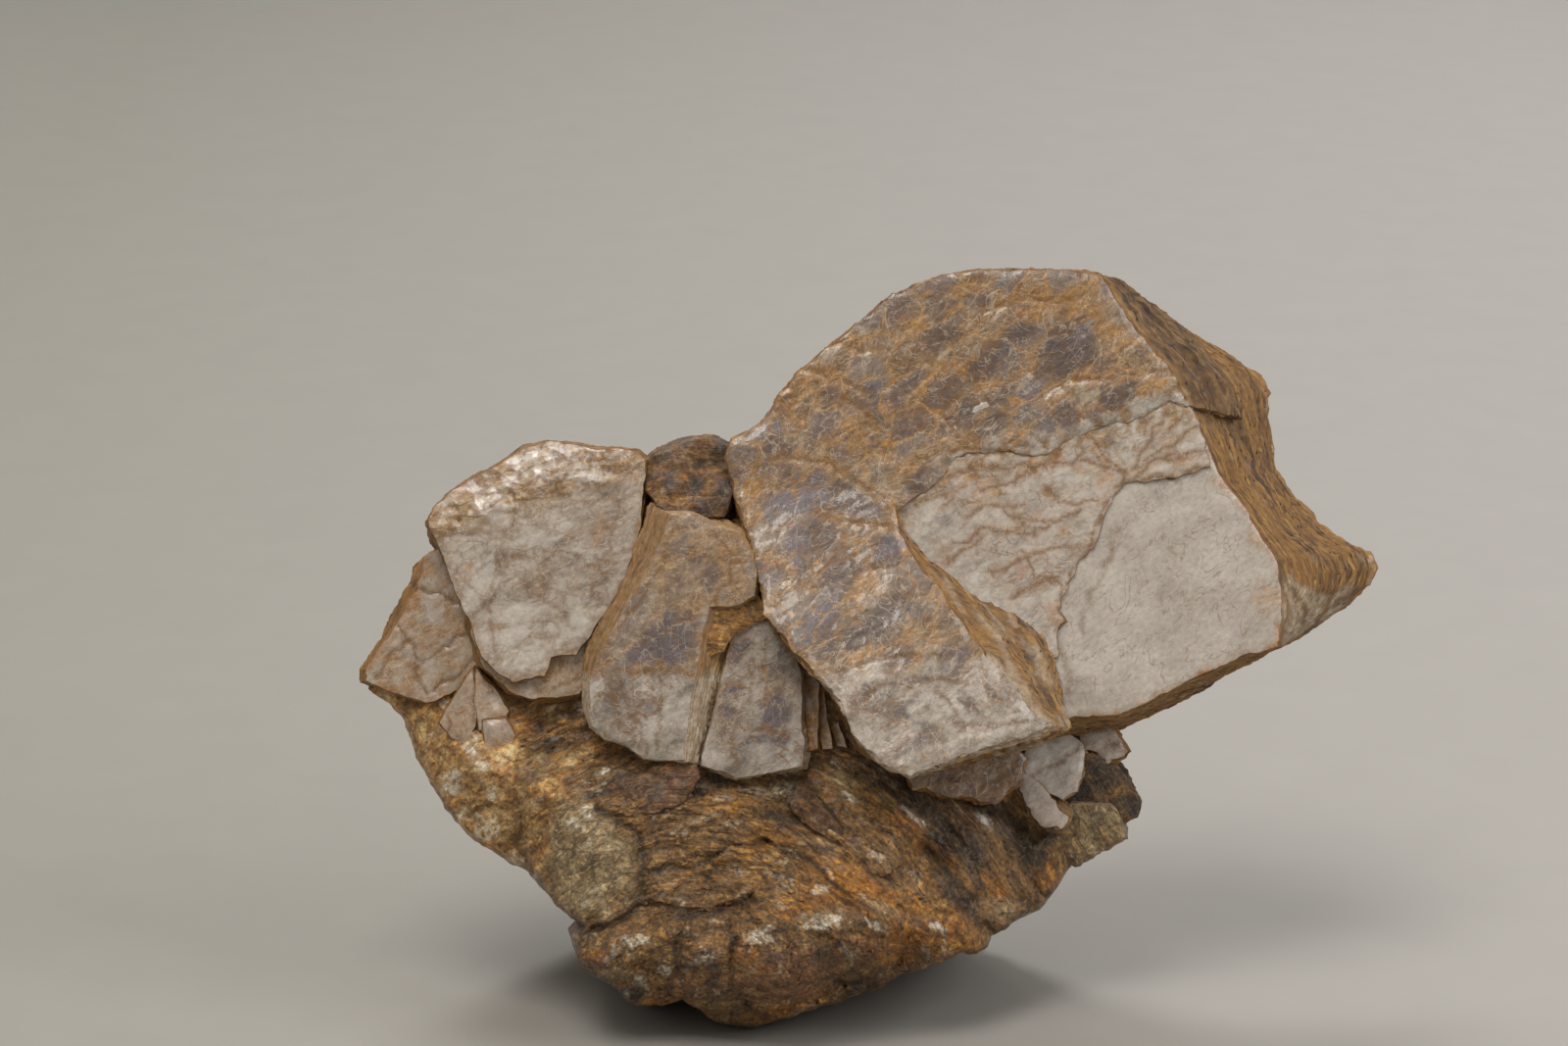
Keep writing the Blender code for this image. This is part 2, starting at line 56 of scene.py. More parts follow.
# %% [markdown]
# ## A frame that leans back
#
# The crystal faces a visitor who looks slightly down at it. It is easiest to draw on a tilted
# sheet: x to the right, h up along that sheet, and out toward the visitor, all in millimetres.
# One function turns those into world positions, and every outline below is written in them.

# %% The display side
LEAN = math.radians(14)  # how far the display side leans back
STAND_AT = (-0.74, -13.57)  # mm, world x and y of the sheet's zero point


def placed(x, h, out):
    """World positions, in metres, of points of the display side."""
    x, h, out = np.broadcast_arrays(x, h, out)
    y = -out * math.cos(LEAN) + h * math.sin(LEAN)
    z = out * math.sin(LEAN) + h * math.cos(LEAN)
    return np.stack((x + STAND_AT[0], y + STAND_AT[1], z), -1) * MM


print("a point 50 mm up the sheet is at, mm:", (placed(0, 50, 0) / MM).round(1).tolist())


# %% [markdown]
# ## Chance with a grain
#
# Broken mica is irregular at every size, but never random like static: its steps are long along
# the sheets and short across them. Gradient noise gives smooth hills with a known distance
# between them. It is written here in a few lines of array code, because thousands of points are
# asked at once.

# %% Hills, ridges and terraces


def lattice(i, j, seed):
    """A repeatable number from 0 to 1 for each whole-number pair."""
    n = (i * 73856093) ^ (j * 19349663) ^ (seed * 83492791 + 12345)
    n = ((n ^ (n >> 13)) * 1274126177) & 0xFFFFFFFF
    return ((n ^ (n >> 16)) & 0xFFFF) / 65535.0


def hills(x, y, seed=0):
    """Gradient noise from about -1 to 1, with one hill or hollow to each unit."""
    i, j = np.floor(x).astype(np.int64), np.floor(y).astype(np.int64)
    u, v = x - i, y - j
    fade_u, fade_v = u * u * u * (u * (u * 6 - 15) + 10), v * v * v * (v * (v * 6 - 15) + 10)
    corners = []
    for di in (0, 1):
        for dj in (0, 1):
            turn = lattice(i + di, j + dj, seed) * 2 * math.pi
            corners.append(np.cos(turn) * (u - di) + np.sin(turn) * (v - dj))
    low = corners[0] + (corners[1] - corners[0]) * fade_v
    high = corners[2] + (corners[3] - corners[2]) * fade_v
    return (low + (high - low) * fade_u) * 1.5


def rough(x, y, seed=0, octaves=4):
    """Hills with smaller hills on them."""
    return sum(hills(x * 2**k, y * 2**k, seed + 31 * k) / 2**k for k in range(octaves))


def grain(x, h, degrees, along, across):
    """Coordinates stretched along a direction: one unit is `along` mm that way and `across` mm over it."""
    turn = np.radians(degrees)
    return (x * np.cos(turn) + h * np.sin(turn)) / along, (h * np.cos(turn) - x * np.sin(turn)) / across


def terraces(value, steps, rise=0.22):
    """Turns hills into flat treads with short steep rises, as torn sheets leave. Returns height and rise."""
    level = np.floor(value * steps)
    part = np.clip((value * steps - level) / rise, 0, 1)
    smooth = part * part * (3 - 2 * part)
    return (level + smooth) / steps, 4 * part * (1 - part)


def soften(value, low, high):
    """Rises smoothly from 0 at the low value to 1 at the high one."""
    part = np.clip((value - low) / (high - low), 0, 1)
    return part * part * (3 - 2 * part)


# %% [markdown]
# ## Lines and patches on a sheet
#
# Cracks, torn edges and stained patches sit at places of their own. A crack is a few points of a
# broken line, and a patch is an outline. The distance to either one, wobbled with noise, is all
# that is needed to cut a groove, lift a step or fade in a stain.

# %% Distances


def away_from(line, x, h, closed=False):
    """Distance, in mm, from each point to a broken line."""
    best = np.full(np.shape(x), 1e9)
    ends = list(line[1:]) + ([line[0]] if closed else [])
    for (ax, ah), (bx, bh) in zip(line, ends):
        dx, dh = bx - ax, bh - ah
        share = np.clip(((x - ax) * dx + (h - ah) * dh) / (dx * dx + dh * dh + 1e-12), 0, 1)
        best = np.minimum(best, np.hypot(x - ax - share * dx, h - ah - share * dh))
    return best


def beside(line, x, h, width):
    """1 on a line, falling to nothing a few widths away from it."""
    return np.exp(-(away_from(line, x, h) / width) ** 2)


def within(outline, x, h):
    """Distance to an outline, in mm: positive inside it, negative outside."""
    inside = np.zeros(np.shape(x), bool)
    for (ax, ah), (bx, bh) in zip(outline, list(outline[1:]) + [outline[0]]):
        crosses = (ah > h) != (bh > h)
        with np.errstate(divide="ignore", invalid="ignore"):
            inside ^= crosses & (x < ax + (h - ah) * (bx - ax) / (bh - ah))
    return np.where(inside, 1, -1) * away_from(outline, x, h, closed=True)


def patches(x, h, spots, wobble=0.35, seed=5):
    """How far each point is in a set of soft patches, from 0 to 1.

    Each is (x, h, radius), or (x, h, half length, half width, degrees that it is turned).
    """
    total = np.zeros(np.shape(x))
    for number, (cx, ch, along, *rest) in enumerate(spots):
        across, turn = rest if rest else (along, 0)
        u, v = grain(x - cx, h - ch, turn, along, across)
        bend = 1 + wobble * rough(u * 1.3 + cx, v * 1.3 + ch, seed + number, 3)
        total = np.maximum(total, 1 - soften(np.hypot(u, v) * bend, 0.45, 1.15))
    return total


def veins(x, h, lines, width=0.35, seed=6):
    """How near each point is to any of a set of wandering lines, from 0 to 1."""
    sway_x = x + 0.5 * rough(x / 2.2, h / 2.2, seed, 3)
    sway_h = h + 0.5 * rough(x / 2.2, h / 2.2, seed + 1, 3)
    total = np.zeros(np.shape(x))
    for line in lines:
        total = np.maximum(total, beside(line, sway_x, sway_h, width))
    return total


# %% [markdown]
# ## Turning outlines into books
#
# A mica book is a stack of sheets, and its side is a staircase of their torn edges. The stack is
# lofted: each sheet gives two rings of points, at its upper and lower surface, and its outline
# lies between the book's front outline and its back outline. Sheets break off in packs, so most
# steps are hair-fine and a few are wide. The front face is filled with small triangles that can
# be moved.

# %% Rings and sheets
EDGE_STEP = 0.45  # mm between the points of a torn edge


def stretched(corners, step=EDGE_STEP):
    """Points every `step` mm along a closed outline of (front x, front h, back x, back h) corners."""
    corners = np.array([c if len(c) == 4 else (*c, *c) for c in corners], float)
    ends = np.roll(corners, -1, 0)
    points = []
    for a, b in zip(corners, ends):
        length = max(np.hypot(*(b - a)[:2]), np.hypot(*(b - a)[2:]))
        count = max(1, round(length / step))
        points += [a + (b - a) * k / count for k in range(count)]
    return np.array(points)


def outward(points):
    """The unit vector out of a counter-clockwise outline at each of its points."""
    along = np.roll(points, -2, 0) - np.roll(points, 2, 0)
    side = np.stack((along[:, 1], -along[:, 0]), -1)
    return side / np.maximum(np.linalg.norm(side, axis=1, keepdims=True), 1e-9)


def torn(points, amount, seed, level=0.0):
    """The outline with its edge torn: long bites and small nicks."""
    x, h = points[:, 0], points[:, 1]
    bites, _ = terraces(rough(x / 4.2 + level * 0.35, h / 4.2, seed, 3), 4, 0.25)
    nicks = rough(x / 1.1, h / 1.1 + level * 3.1, seed + 9, 2)
    return points + outward(points) * (amount * (0.8 * bites + 0.5 * nicks))[:, None]

# %% A face full of small triangles


def filled(outline, spacing, seed):
    """Points and triangles that fill an outline. The outline's own points come first."""
    low, high = outline.min(0), outline.max(0)
    xs, hs = np.meshgrid(np.arange(low[0], high[0], spacing), np.arange(low[1], high[1], spacing * 0.87))
    xs = xs + (np.arange(len(xs)) % 2)[:, None] * spacing / 2
    shake = np.random.default_rng(seed).uniform(-0.2, 0.2, (2, *xs.shape)) * spacing
    inner = np.stack((xs + shake[0], hs + shake[1]), -1).reshape(-1, 2)
    inner = inner[within([tuple(p) for p in outline], inner[:, 0], inner[:, 1]) > spacing * 0.6]
    everything = np.concatenate((outline, inner))
    ring = [(i, (i + 1) % len(outline)) for i in range(len(outline))]
    found, _, triangles, *_ = geometry.delaunay_2d_cdt([Vector(p) for p in everything], ring, [], 1, 1e-7)
    return np.array([tuple(p) for p in found]), triangles

# %% A book, sheet by sheet
STEADY = ((0, 0), (1, 1))  # an edge that steps out evenly from the front of the book to its back
RISER_LEAN = 0.1  # mm that each torn edge leans out, which lets it be seen from the front
BACK_SPACING = 0.9  # mm between the points of a book's back


def side_faces(starts, count):
    """Faces with four corners between each ring of points and the next."""
    return [(a + i, b + i, b + (i + 1) % count, a + (i + 1) % count)
            for a, b in zip(starts, starts[1:]) for i in range(count)]


def sheet_rings(both, leaves, thickness, roll, profile, tear, fray, seed, chance):
    """(points, depth) of two rings to each sheet: the upper and the lower border of its torn edge."""
    depth = np.cumsum(chance.uniform(0.4, 1.6, leaves) + 0.5 * chance.pareto(3.0, leaves))
    depth = np.concatenate(((0,), depth)) / depth[-1]
    spread = np.interp(depth[:-1] / depth[-2], *np.transpose(profile))
    spread[0] = 0
    rings = []
    for leaf in range(leaves):
        outline = both[:, :2] + (both[:, 2:] - both[:, :2]) * spread[leaf]
        outline = torn(outline, tear + (fray - tear) * min(1, depth[leaf] * 3), seed, leaf * 0.25)
        top, low = depth[leaf], depth[leaf] * 0.12 + depth[leaf + 1] * 0.88
        rings.append((outline, roll + top * (thickness - roll)))
        rings.append((outline + outward(outline) * RISER_LEAN, roll + low * (thickness - roll)))
    return rings

# %% A book from front to back


def book(name, corners, face, thickness, leaves, finish, edges, spacing=0.45, tear=0.25, fray=0.4,
         seed=1, profile=STEADY, roll=0.12, rim=0.7, worn=0.6, skirt=0.0, pale=0.0, paint=None):
    """A book of mica sheets.

    face(x, h) gives the front sheet's height out, and the stack goes back from it. finish and edges
    are the materials of the front and of the torn sides. profile says what share of the way to its
    back outline the edge has reached at each share of the depth. tear and fray are the mm that the
    first and last sheets' edges wander, roll the mm that the worn rim falls over a width of `worn`,
    rim the strength of the rust there, skirt the mm that the whole side leans out, and pale how pale
    its darkest leaf is. paint(x, h) gives stains.
    """
    both = stretched(corners)
    both[:, 2:] += outward(both[:, :2]) * skirt
    chance = np.random.default_rng(seed)
    rings = sheet_rings(both, leaves, thickness, roll, profile, tear, fray, seed, chance)
    tones = pale + (1 - pale) * chance.uniform(0, 1, leaves + 1)
    ring_tones = [tones[0], *np.repeat(tones[1:], 2)]
    front, triangles = filled(rings[0][0], spacing, seed)
    back, back_triangles = filled(rings[-1][0], BACK_SPACING, seed + 1)
    count = len(both)
    inside = within([tuple(p) for p in rings[0][0]], front[:, 0], front[:, 1])
    inside[:count] = 0
    wear = worn * (1.2 + 0.8 * rough(front[:, 0] / 2.5, front[:, 1] / 2.5, seed, 2))
    rounded = 1 - soften(inside, -0.2, wear)
    flat = [front] + [outline for outline, _ in rings[1:-1]] + [back]
    hollow = soften(within([tuple(p) for p in rings[-1][0]], back[:, 0], back[:, 1]), 0.2, 2.0)
    hollow[:count] = 0
    broken, _ = terraces(rough(*grain(back[:, 0], back[:, 1], 40, 7.0, 4.0), seed + 7, 4), 4, 0.15)
    deep = [roll * rounded] + [d + 0 * f[:, 0] for (_, d), f in zip(rings[1:-1], flat[1:-1])] + [
        rings[-1][1] - min(1.0, thickness / 9) * hollow * (0.6 + broken)]
    points, depths = np.concatenate(flat), np.concatenate(deep)
    tone = np.concatenate([np.full(len(f), t) for f, t in zip(flat, ring_tones)])
    starts = np.cumsum([0] + [len(f) for f in flat])
    last = starts[-2]
    sides = side_faces(starts[:-1], count)
    faces = [*triangles, *sides, *(tuple(last + i for i in t[::-1]) for t in back_triangles)]
    kinds = [0] * len(triangles) + [1] * len(sides) + [0] * len(back_triangles)
    height = face(points[:, 0], points[:, 1])
    mesh = bpy.data.meshes.new(name)
    mesh.from_pydata(placed(points[:, 0], points[:, 1], height - depths).tolist(), [], faces)
    stains = paint(points[:, 0], points[:, 1]) if paint else {}
    rusty = np.zeros(len(points))
    broken = np.clip(0.5 + 1.2 * rough(front[:, 0] / 1.6, front[:, 1] / 1.6, seed + 5, 3), 0, 1)
    rusty[:len(front)] = rim * (1 - soften(inside, 0.0, 0.9)) * broken
    stains["rust"] = np.maximum(stains.get("rust", 0), rusty)
    weathered = np.where(np.arange(len(points)) < last, 0, 0.95)
    for stain_name, amount in (("tan", 1), ("rust", 0.5)):
        stains[stain_name] = np.maximum(stains.get(stain_name, 0), weathered * amount)
    return finished(name, mesh, [finish, edges], kinds, {**stains, "tone": tone})

# %% From mesh to piece


def finished(name, mesh, materials, kinds, stains):
    """Gives a mesh its materials, its stains and crisp edges, and makes it a piece of the specimen."""
    for material in materials:
        mesh.materials.append(material)
    if kinds is not None:
        mesh.polygons.foreach_set("material_index", np.array(kinds, np.int32))
    for stain_name, amount in stains.items():
        layer = mesh.attributes.new(stain_name, "FLOAT", "POINT")
        layer.data.foreach_set("value", np.clip(amount, 0, 1).astype(np.float32))
    mesh.validate()
    mesh.shade_smooth()
    mesh.set_sharp_from_angle(angle=math.radians(32))
    piece = bpy.data.objects.new(name, mesh)
    bpy.context.scene.collection.objects.link(piece)
    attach(piece, "root")
    print(name, "triangles:", sum(len(p.vertices) - 2 for p in mesh.polygons))
    return piece


# %% [markdown]
# ## Colours and nodes
#
# Colours are noted the way a painter would, as sRGB hex, and one function turns them to the
# linear values that light uses. A second small function adds a node, sets it and wires it, so
# that each material below reads as a list of what happens on the mineral.

# %% Colour and node helpers


def linear(hex_code):
    """A linear RGBA colour from an sRGB hex code."""
    parts = [int(hex_code[i:i + 2], 16) / 255 for i in (1, 3, 5)]
    return (*[c / 12.92 if c <= 0.04045 else ((c + 0.055) / 1.055) ** 2.4 for c in parts], 1)


def node(tree, kind, *values, out=0, stops=(), **settings):
    """Adds a node and returns one of its outputs.

    Values go to its open sockets in order, and settings with a capital to the socket of that name.
    A socket is linked, a hex code is a colour, any other word is a stain painted on the points, and
    a list is the product of what it holds. Settings in small letters are the node's own. Stops are
    (position, hex colour or grey number) along a ramp.
    """
    made = tree.nodes.new("ShaderNode" + kind)
    for key, value in settings.items():
        if key[0].islower():
            setattr(made, key, value)
    sockets = list(zip([socket for socket in made.inputs if socket.enabled], values))
    sockets += [(made.inputs[key], value) for key, value in settings.items() if key[0].isupper()]
    for socket, value in sockets:
        if isinstance(value, list):
            value = reduce(lambda a, b: node(tree, "Math", a, b, operation="MULTIPLY"), value)
        if isinstance(value, str) and value[0] != "#":
            value = node(tree, "Attribute", out="Fac", attribute_name=value)
        if isinstance(value, bpy.types.NodeSocket):
            tree.links.new(value, socket)
        else:
            socket.default_value = linear(value) if isinstance(value, str) else value
    if stops:
        band = made.color_ramp.elements
        while len(band) < len(stops):
            band.new(0.5)
        for element, (position, colour) in zip(band, stops):
            element.position = position
            element.color = linear(colour) if isinstance(colour, str) else (colour, colour, colour, 1)
    return made.outputs[out] if isinstance(out, str) else [o for o in made.outputs if o.enabled][out]


def painted(tree, colour, *coats):
    """Lays coats over a colour: each is (its colour, how much of it) and, if not MIX, how it blends."""
    for coat, amount, *blend in coats:
        colour = node(tree, "Mix", amount, colour, coat, data_type="RGBA", blend_type=(*blend, "MIX")[0])
    return colour


def mottled(tree, place, stops, scale=1.0, detail=4.0, roughness=0.55):
    """Colours or strengths that follow a noise, from its low places to its high ones."""
    return node(tree, "ValToRGB", node(tree, "TexNoise", place, scale, detail, roughness), stops=stops)

# %% Places to draw patterns on


def on_the_sheet(tree):
    """Position on the display side in mm, as (x, h, out), so that patterns follow the sheets."""
    away = (-STAND_AT[0], -STAND_AT[1] * math.sin(LEAN), STAND_AT[1] * math.cos(LEAN))
    return node(tree, "Mapping", node(tree, "TexCoord", out="Object"), away, (LEAN - math.pi / 2, 0, 0),
                (1 / MM, 1 / MM, 1 / MM))


def streaked(tree, place, degrees, along, across, deep=None):
    """The same, stretched along a direction in the sheet: sizes in mm to one unit of a pattern."""
    turned = node(tree, "Mapping", place, Rotation=(0, 0, -math.radians(degrees)))
    return node(tree, "Mapping", turned, Scale=(1 / along, 1 / across, 1 / (deep or across)))


def bent(tree, vector, size, amount):
    """The vector pushed about by noise, which makes straight patterns wander."""
    push = node(tree, "TexNoise", vector, 1 / size, 2.0, out="Color")
    centred = node(tree, "VectorMath", push, (0.5, 0.5, 0.5), operation="SUBTRACT")
    scaled = node(tree, "VectorMath", centred, amount, operation="SCALE")
    return node(tree, "VectorMath", vector, scaled, operation="ADD")

# %% A material for mica


def new_material(name, colour, roughness, bumps, bump_mm, coat=0.0, coat_roughness=0.2):
    """A material for mica, of functions of (tree, place) for its colour, roughness and bumps."""
    material = bpy.data.materials.new(name)
    material.use_nodes = True
    tree = material.node_tree
    shader = tree.nodes["Principled BSDF"].inputs
    place = on_the_sheet(tree)
    bump = node(tree, "Bump", 1.0, bump_mm * MM, Height=bumps(tree, place))
    made = {"Base Color": colour(tree, place), "Roughness": roughness(tree, place), "Normal": bump}
    for key, socket in made.items():
        tree.links.new(socket, shader[key])
    for key, value in {"IOR": MICA_IOR, "Coat Weight": coat, "Coat Roughness": coat_roughness}.items():
        shader[key].default_value = value
    print("material", name, "nodes:", len(tree.nodes))
    return material


# %% [markdown]
# ## Smoky cleavage
#
# Muscovite splits into sheets as flat as glass. Where the top sheets are clear, one looks into
# dark, lilac-grey depth; where air or iron-stained water has crept between them, the face turns
# tan or rusty. So the colour is windows of mauve and lilac, long ones that climb to the right,
# set in a tan haze with rusty seams between them, and fine pale scratches over it all.

# %% Smoky muscovite
MICA_IOR = 1.58
STREAK = 33  # degrees that the streaks climb to the right
WINDOW_MM = (4.6, 3.2)  # the length and height of a window


def hairs(tree, place, degrees, size, width):
    """Fine wandering lines: the places where a noise crosses one level."""
    level = node(tree, "TexNoise", streaked(tree, place, degrees, size * 1.8, size, 60), 1.0, 3.0, 0.6,
                 Distortion=0.8)
    off = node(tree, "Math", node(tree, "Math", level, 0.5, operation="SUBTRACT"), operation="ABSOLUTE")
    return node(tree, "ValToRGB", off, stops=[(0.0, 1.0), (width, 0.0)])


def crossed(tree, place, *sets):
    """Two sets of hairs that cross, each (degrees, size, width)."""
    return node(tree, "Math", *[hairs(tree, place, *one) for one in sets], operation="MAXIMUM")


def grit(tree, place, size, low=0.3, high=0.7):
    """A fine grey noise for overlaying: it lightens and darkens a colour without tinting it."""
    return mottled(tree, place, [(low, 0.12), (high, 0.88)], 1 / size, 9.0, 0.72)


def smoky_windows(tree, place):
    """(colour of each window, how clear it is, distance from the walls between) on the smoky face."""
    spot = bent(tree, bent(tree, streaked(tree, place, STREAK, *WINDOW_MM, 60), 0.6, 0.7), 0.15, 0.12)
    distance, colour, *_ = node(tree, "TexVoronoi", spot, 1.0).node.outputs
    tint_chance, clear_chance, _ = node(tree, "SeparateColor", colour).node.outputs
    tint = node(tree, "ValToRGB", tint_chance, stops=[
        (0.0, "#574339"), (0.3, "#655147"), (0.6, "#6e5e56"), (0.8, "#685e5c"), (1.0, "#776758")])
    clear = [node(tree, "ValToRGB", distance, stops=[(0.36, 1.0), (0.64, 0.0)]),
             node(tree, "ValToRGB", clear_chance, stops=[(0.1, 0.0), (0.3, 1.0)])]
    return tint, clear, node(tree, "TexVoronoi", spot, 1.0, feature="DISTANCE_TO_EDGE")


def rusty_cracks(tree, place):
    """Long thin wandering cracks that iron has crept along, on some parts of a face only."""
    return [crossed(tree, place, (25, 3.6, 0.016), (-50, 3.0, 0.014)),
            mottled(tree, place, [(0.42, 0.0), (0.52, 1.0)], 0.13, 3.0)]

# %% Smoky colours


def smoky_colour(tree, place):
    """Haze with windows, then the stains painted on the points, then cracks and scratches."""
    streaks = streaked(tree, place, STREAK, 1.8, 0.9, 40)
    fine = node(tree, "TexNoise", streaks, 1.0, 9.0, 0.7, Distortion=0.5)
    haze = node(tree, "ValToRGB", fine, stops=[(0.34, "#543b20"), (0.45, "#77562f"), (0.55, "#906c41"),
                                               (0.68, "#ae9063")])
    cream = node(tree, "ValToRGB", fine, stops=[(0.36, "#675746"), (0.5, "#867663"), (0.66, "#a49684")])
    cloud = node(tree, "TexNoise", streaked(tree, place, STREAK, 6.0, 4.0, 60), 1.0, 6.0, 0.62)
    tint, clear, walls = smoky_windows(tree, place)
    patchy = mottled(tree, streaks, [(0.3, 0.5), (0.5, 1.0)], 1.3, 7.0, 0.65)
    rust = mottled(tree, streaks, [(0.3, "#6d471c"), (0.48, "#9a6c30"), (0.7, "#bd965c")], 1.7, 9.0, 0.72)
    orange = mottled(tree, streaked(tree, place, STREAK, 4.5, 2.0, 60), [(0.56, 0.0), (0.63, 0.6)], 1.0, 8.0,
                     0.7)
    seams = node(tree, "Math", [node(tree, "ValToRGB", walls, stops=[(0.0, 1.0), (0.06, 0.0)]),
                                node(tree, "ValToRGB", cloud, stops=[(0.42, 0.3), (0.52, 1.0)])],
                 orange, operation="MAXIMUM")
    rusty = node(tree, "Math", [seams, node(tree, "ValToRGB", "window", stops=[(0.2, 1.0), (0.7, 0.15)])],
                 ["rust", mottled(tree, streaks, [(0.36, 0.1), (0.54, 1.0)], 2.0, 7.0, 0.65)],
                 operation="MAXIMUM")
    white = mottled(tree, streaked(tree, place, STREAK, 4.0, 2.4, 60), [
        (0.36, "#6d6259"), (0.46, "#8e8377"), (0.56, "#a69c92"), (0.66, "#b2aaa1")], 1.0, 9.0, 0.62)
    return painted(
        tree, haze,
        (cream, node(tree, "ValToRGB", cloud, stops=[(0.42, 0.8), (0.58, 0.0)])),
        # On the smoky pack the window stain also carries painted shade.
        (tint, [*clear, patchy]), ("#53433b", ["window", patchy]), ("#665c60", ["lilac", patchy]),
        (rust, rusty), (white, "white"),
        (grit(tree, streaked(tree, place, STREAK, 1.6, 1.0, 9), 0.5), 0.5, "OVERLAY"),
        ("#7a5327", [*rusty_cracks(tree, place), 0.8]), ("#6a4a26", "line"),
        ("#bfb09a", [crossed(tree, place, (70, 3.0, 0.01), (-15, 1.8, 0.013)), 0.5]))

# %% Smoky shine and scratches


def smoky_roughness(tree, place):
    return mottled(tree, streaked(tree, place, STREAK, 3.0, 1.4, 30), [(0.32, 0.22), (0.68, 0.6)], 1.0, 8.0,
                   0.7)


def smoky_bumps(tree, place):
    walls = smoky_windows(tree, place)[-1]
    fine = node(tree, "TexNoise", streaked(tree, place, STREAK, 1.0, 0.5, 20), 1.0, 9.0, 0.72)
    cells = node(tree, "ValToRGB", walls, stops=[(0.0, 0.0), (0.1, 0.8)])
    cells = node(tree, "Math", cells, fine, operation="ADD")
    return node(tree, "Math", hairs(tree, place, 70, 1.3, 0.02), 0.6, cells, operation="MULTIPLY_ADD")


smoky = new_material("muscovite_smoky_cleavage", smoky_colour, smoky_roughness, smoky_bumps, 0.04,
                     coat=0.35, coat_roughness=0.1)

# %% [markdown]
# ## Pearly cleavage
#
# The thick pale book shows a bare, nearly white face: so many sheets lie loose behind it that
# they scatter light like pearl. It has soft grey clouds, a few hairline cracks and beige veins,
# and it is smooth. The same finish, stained by numbers painted on the points, serves the torn
# sheets beside it.

# %% Pearly muscovite


def pearly_colour(tree, place):
    """Grey clouds, then smoke, tan, rust and bare shiny sheets lifted toward white as painted highlights,
    where the points say so, then fine cracks.
    """
    clouds = node(tree, "TexNoise", streaked(tree, place, 20, 7.0, 5.0, 40), 1.0, 7.0, 0.62, Distortion=0.3)
    base = node(tree, "ValToRGB", clouds, stops=[(0.34, "#9f9488"), (0.48, "#aaa095"), (0.64, "#b6ada2")])
    flecks = mottled(tree, streaked(tree, place, 60, 1.2, 0.8, 40), [(0.56, 0.0), (0.72, 0.2)], 1.0, 9.0,
                     0.72)
    streaks = streaked(tree, place, STREAK - 8, 1.9, 0.75, 30)
    torn_bits = node(tree, "TexNoise", streaks, 1.0, 9.0, 0.72)
    smoke = node(tree, "ValToRGB", torn_bits, stops=[(0.38, "#4e4541"), (0.47, "#6d625a"), (0.56, "#8a7e73"),
                                                     (0.68, "#a99f95")])
    smudged = mottled(tree, streaked(tree, place, STREAK - 8, 3.0, 1.3, 30), [(0.43, 0.25), (0.52, 1.0)], 1.0,
                      7.0, 0.66)
    tan = node(tree, "ValToRGB", torn_bits, stops=[(0.36, "#5c4224"), (0.47, "#80623b"), (0.57, "#9a8058"),
                                                   (0.7, "#b7a580")])
    crept = mottled(tree, streaked(tree, place, STREAK, 4.0, 1.8, 30), [(0.42, 0.25), (0.53, 1.0)], 1.0, 8.0,
                    0.68)
    rust = mottled(tree, streaks, [(0.32, "#69421b"), (0.5, "#9d692f"), (0.68, "#bc8f51")], 1.5, 9.0, 0.7)
    broken = mottled(tree, streaks, [(0.34, 0.15), (0.54, 1.0)], 2.1, 7.0, 0.65)
    walls = node(tree, "TexVoronoi", bent(tree, streaked(tree, place, 10, 2.6, 1.7, 40), 0.6, 0.8), 1.0,
                 feature="DISTANCE_TO_EDGE")
    net = node(tree, "ValToRGB", walls, stops=[(0.0, 1.0), (0.04, 0.8), (0.09, 0.0)])
    return painted(
        tree, base,
        ("#8c8175", flecks), ("#7d6344", [hairs(tree, place, 60, 3.2, 0.012), 0.6]),
        (smoke, ["smoke", smudged]), (tan, ["tan", crept]), (rust, ["rust", broken]),
        ("#6b4d2a", [net, "net"]),
        # The foil stain lifts the colour toward white: a painted highlight on bare shiny sheets.
        ("#c2bab0", "white"), ("#d6cdbf", "foil"),
        (grit(tree, streaked(tree, place, STREAK, 1.6, 1.0, 9), 0.45), 0.3, "OVERLAY"),
        ("#7f5728", [*rusty_cracks(tree, place), node(tree, "Math", "tan", "smoke", operation="MAXIMUM"),
                     0.9]),
        ("#6f4e29", "line"), ("#cac2b8", [crossed(tree, place, (20, 1.5, 0.014), (100, 1.4, 0.014)), 0.35]))

# %% Pearly shine and cracks


def pearly_roughness(tree, place):
    worn = mottled(tree, streaked(tree, place, 30, 3.0, 2.0, 30), [(0.3, 0.3), (0.7, 0.6)], 1.0, 7.0, 0.65)
    return painted(tree, worn, ("#303030", "foil"))


def pearly_bumps(tree, place):
    fine = node(tree, "TexNoise", streaked(tree, place, 30, 1.2, 0.6, 20), 1.0, 9.0, 0.7)
    return node(tree, "Math", hairs(tree, place, 60, 3.2, 0.012), -0.6, fine, operation="MULTIPLY_ADD")


pearly = new_material("muscovite_pearly_cleavage", pearly_colour, pearly_roughness, pearly_bumps, 0.025,
                      coat=0.25, coat_roughness=0.15)

# %% [markdown]
# ## Torn edges
#
# Seen from the side, a book is a ream of paper: hundreds of sheet edges, ochre and brown from
# iron between them, with here and there a clean white one. Every torn sheet of the mesh carries a
# tone of its own, and noise in thin layers draws the many finer sheets between. Real ones are
# hundredths of a millimetre thick, too fine to show, so the layers are drawn about a sixth of a
# millimetre apart.

# %% Laminated edges
SHEET_LINES = 0.17  # mm between the lines of a book's side


def edge_lines(tree, place):
    """(the sheets' wavy position, the many fine lines of their edges, the torn bits on them)."""
    wavy = bent(tree, place, 5.0, 0.3)
    lines = node(tree, "TexNoise", streaked(tree, wavy, 0, 3.0, 3.0, SHEET_LINES), 1.0, 6.0, 0.7)
    return wavy, lines, node(tree, "TexNoise", place, 1.3, 9.0, 0.72)


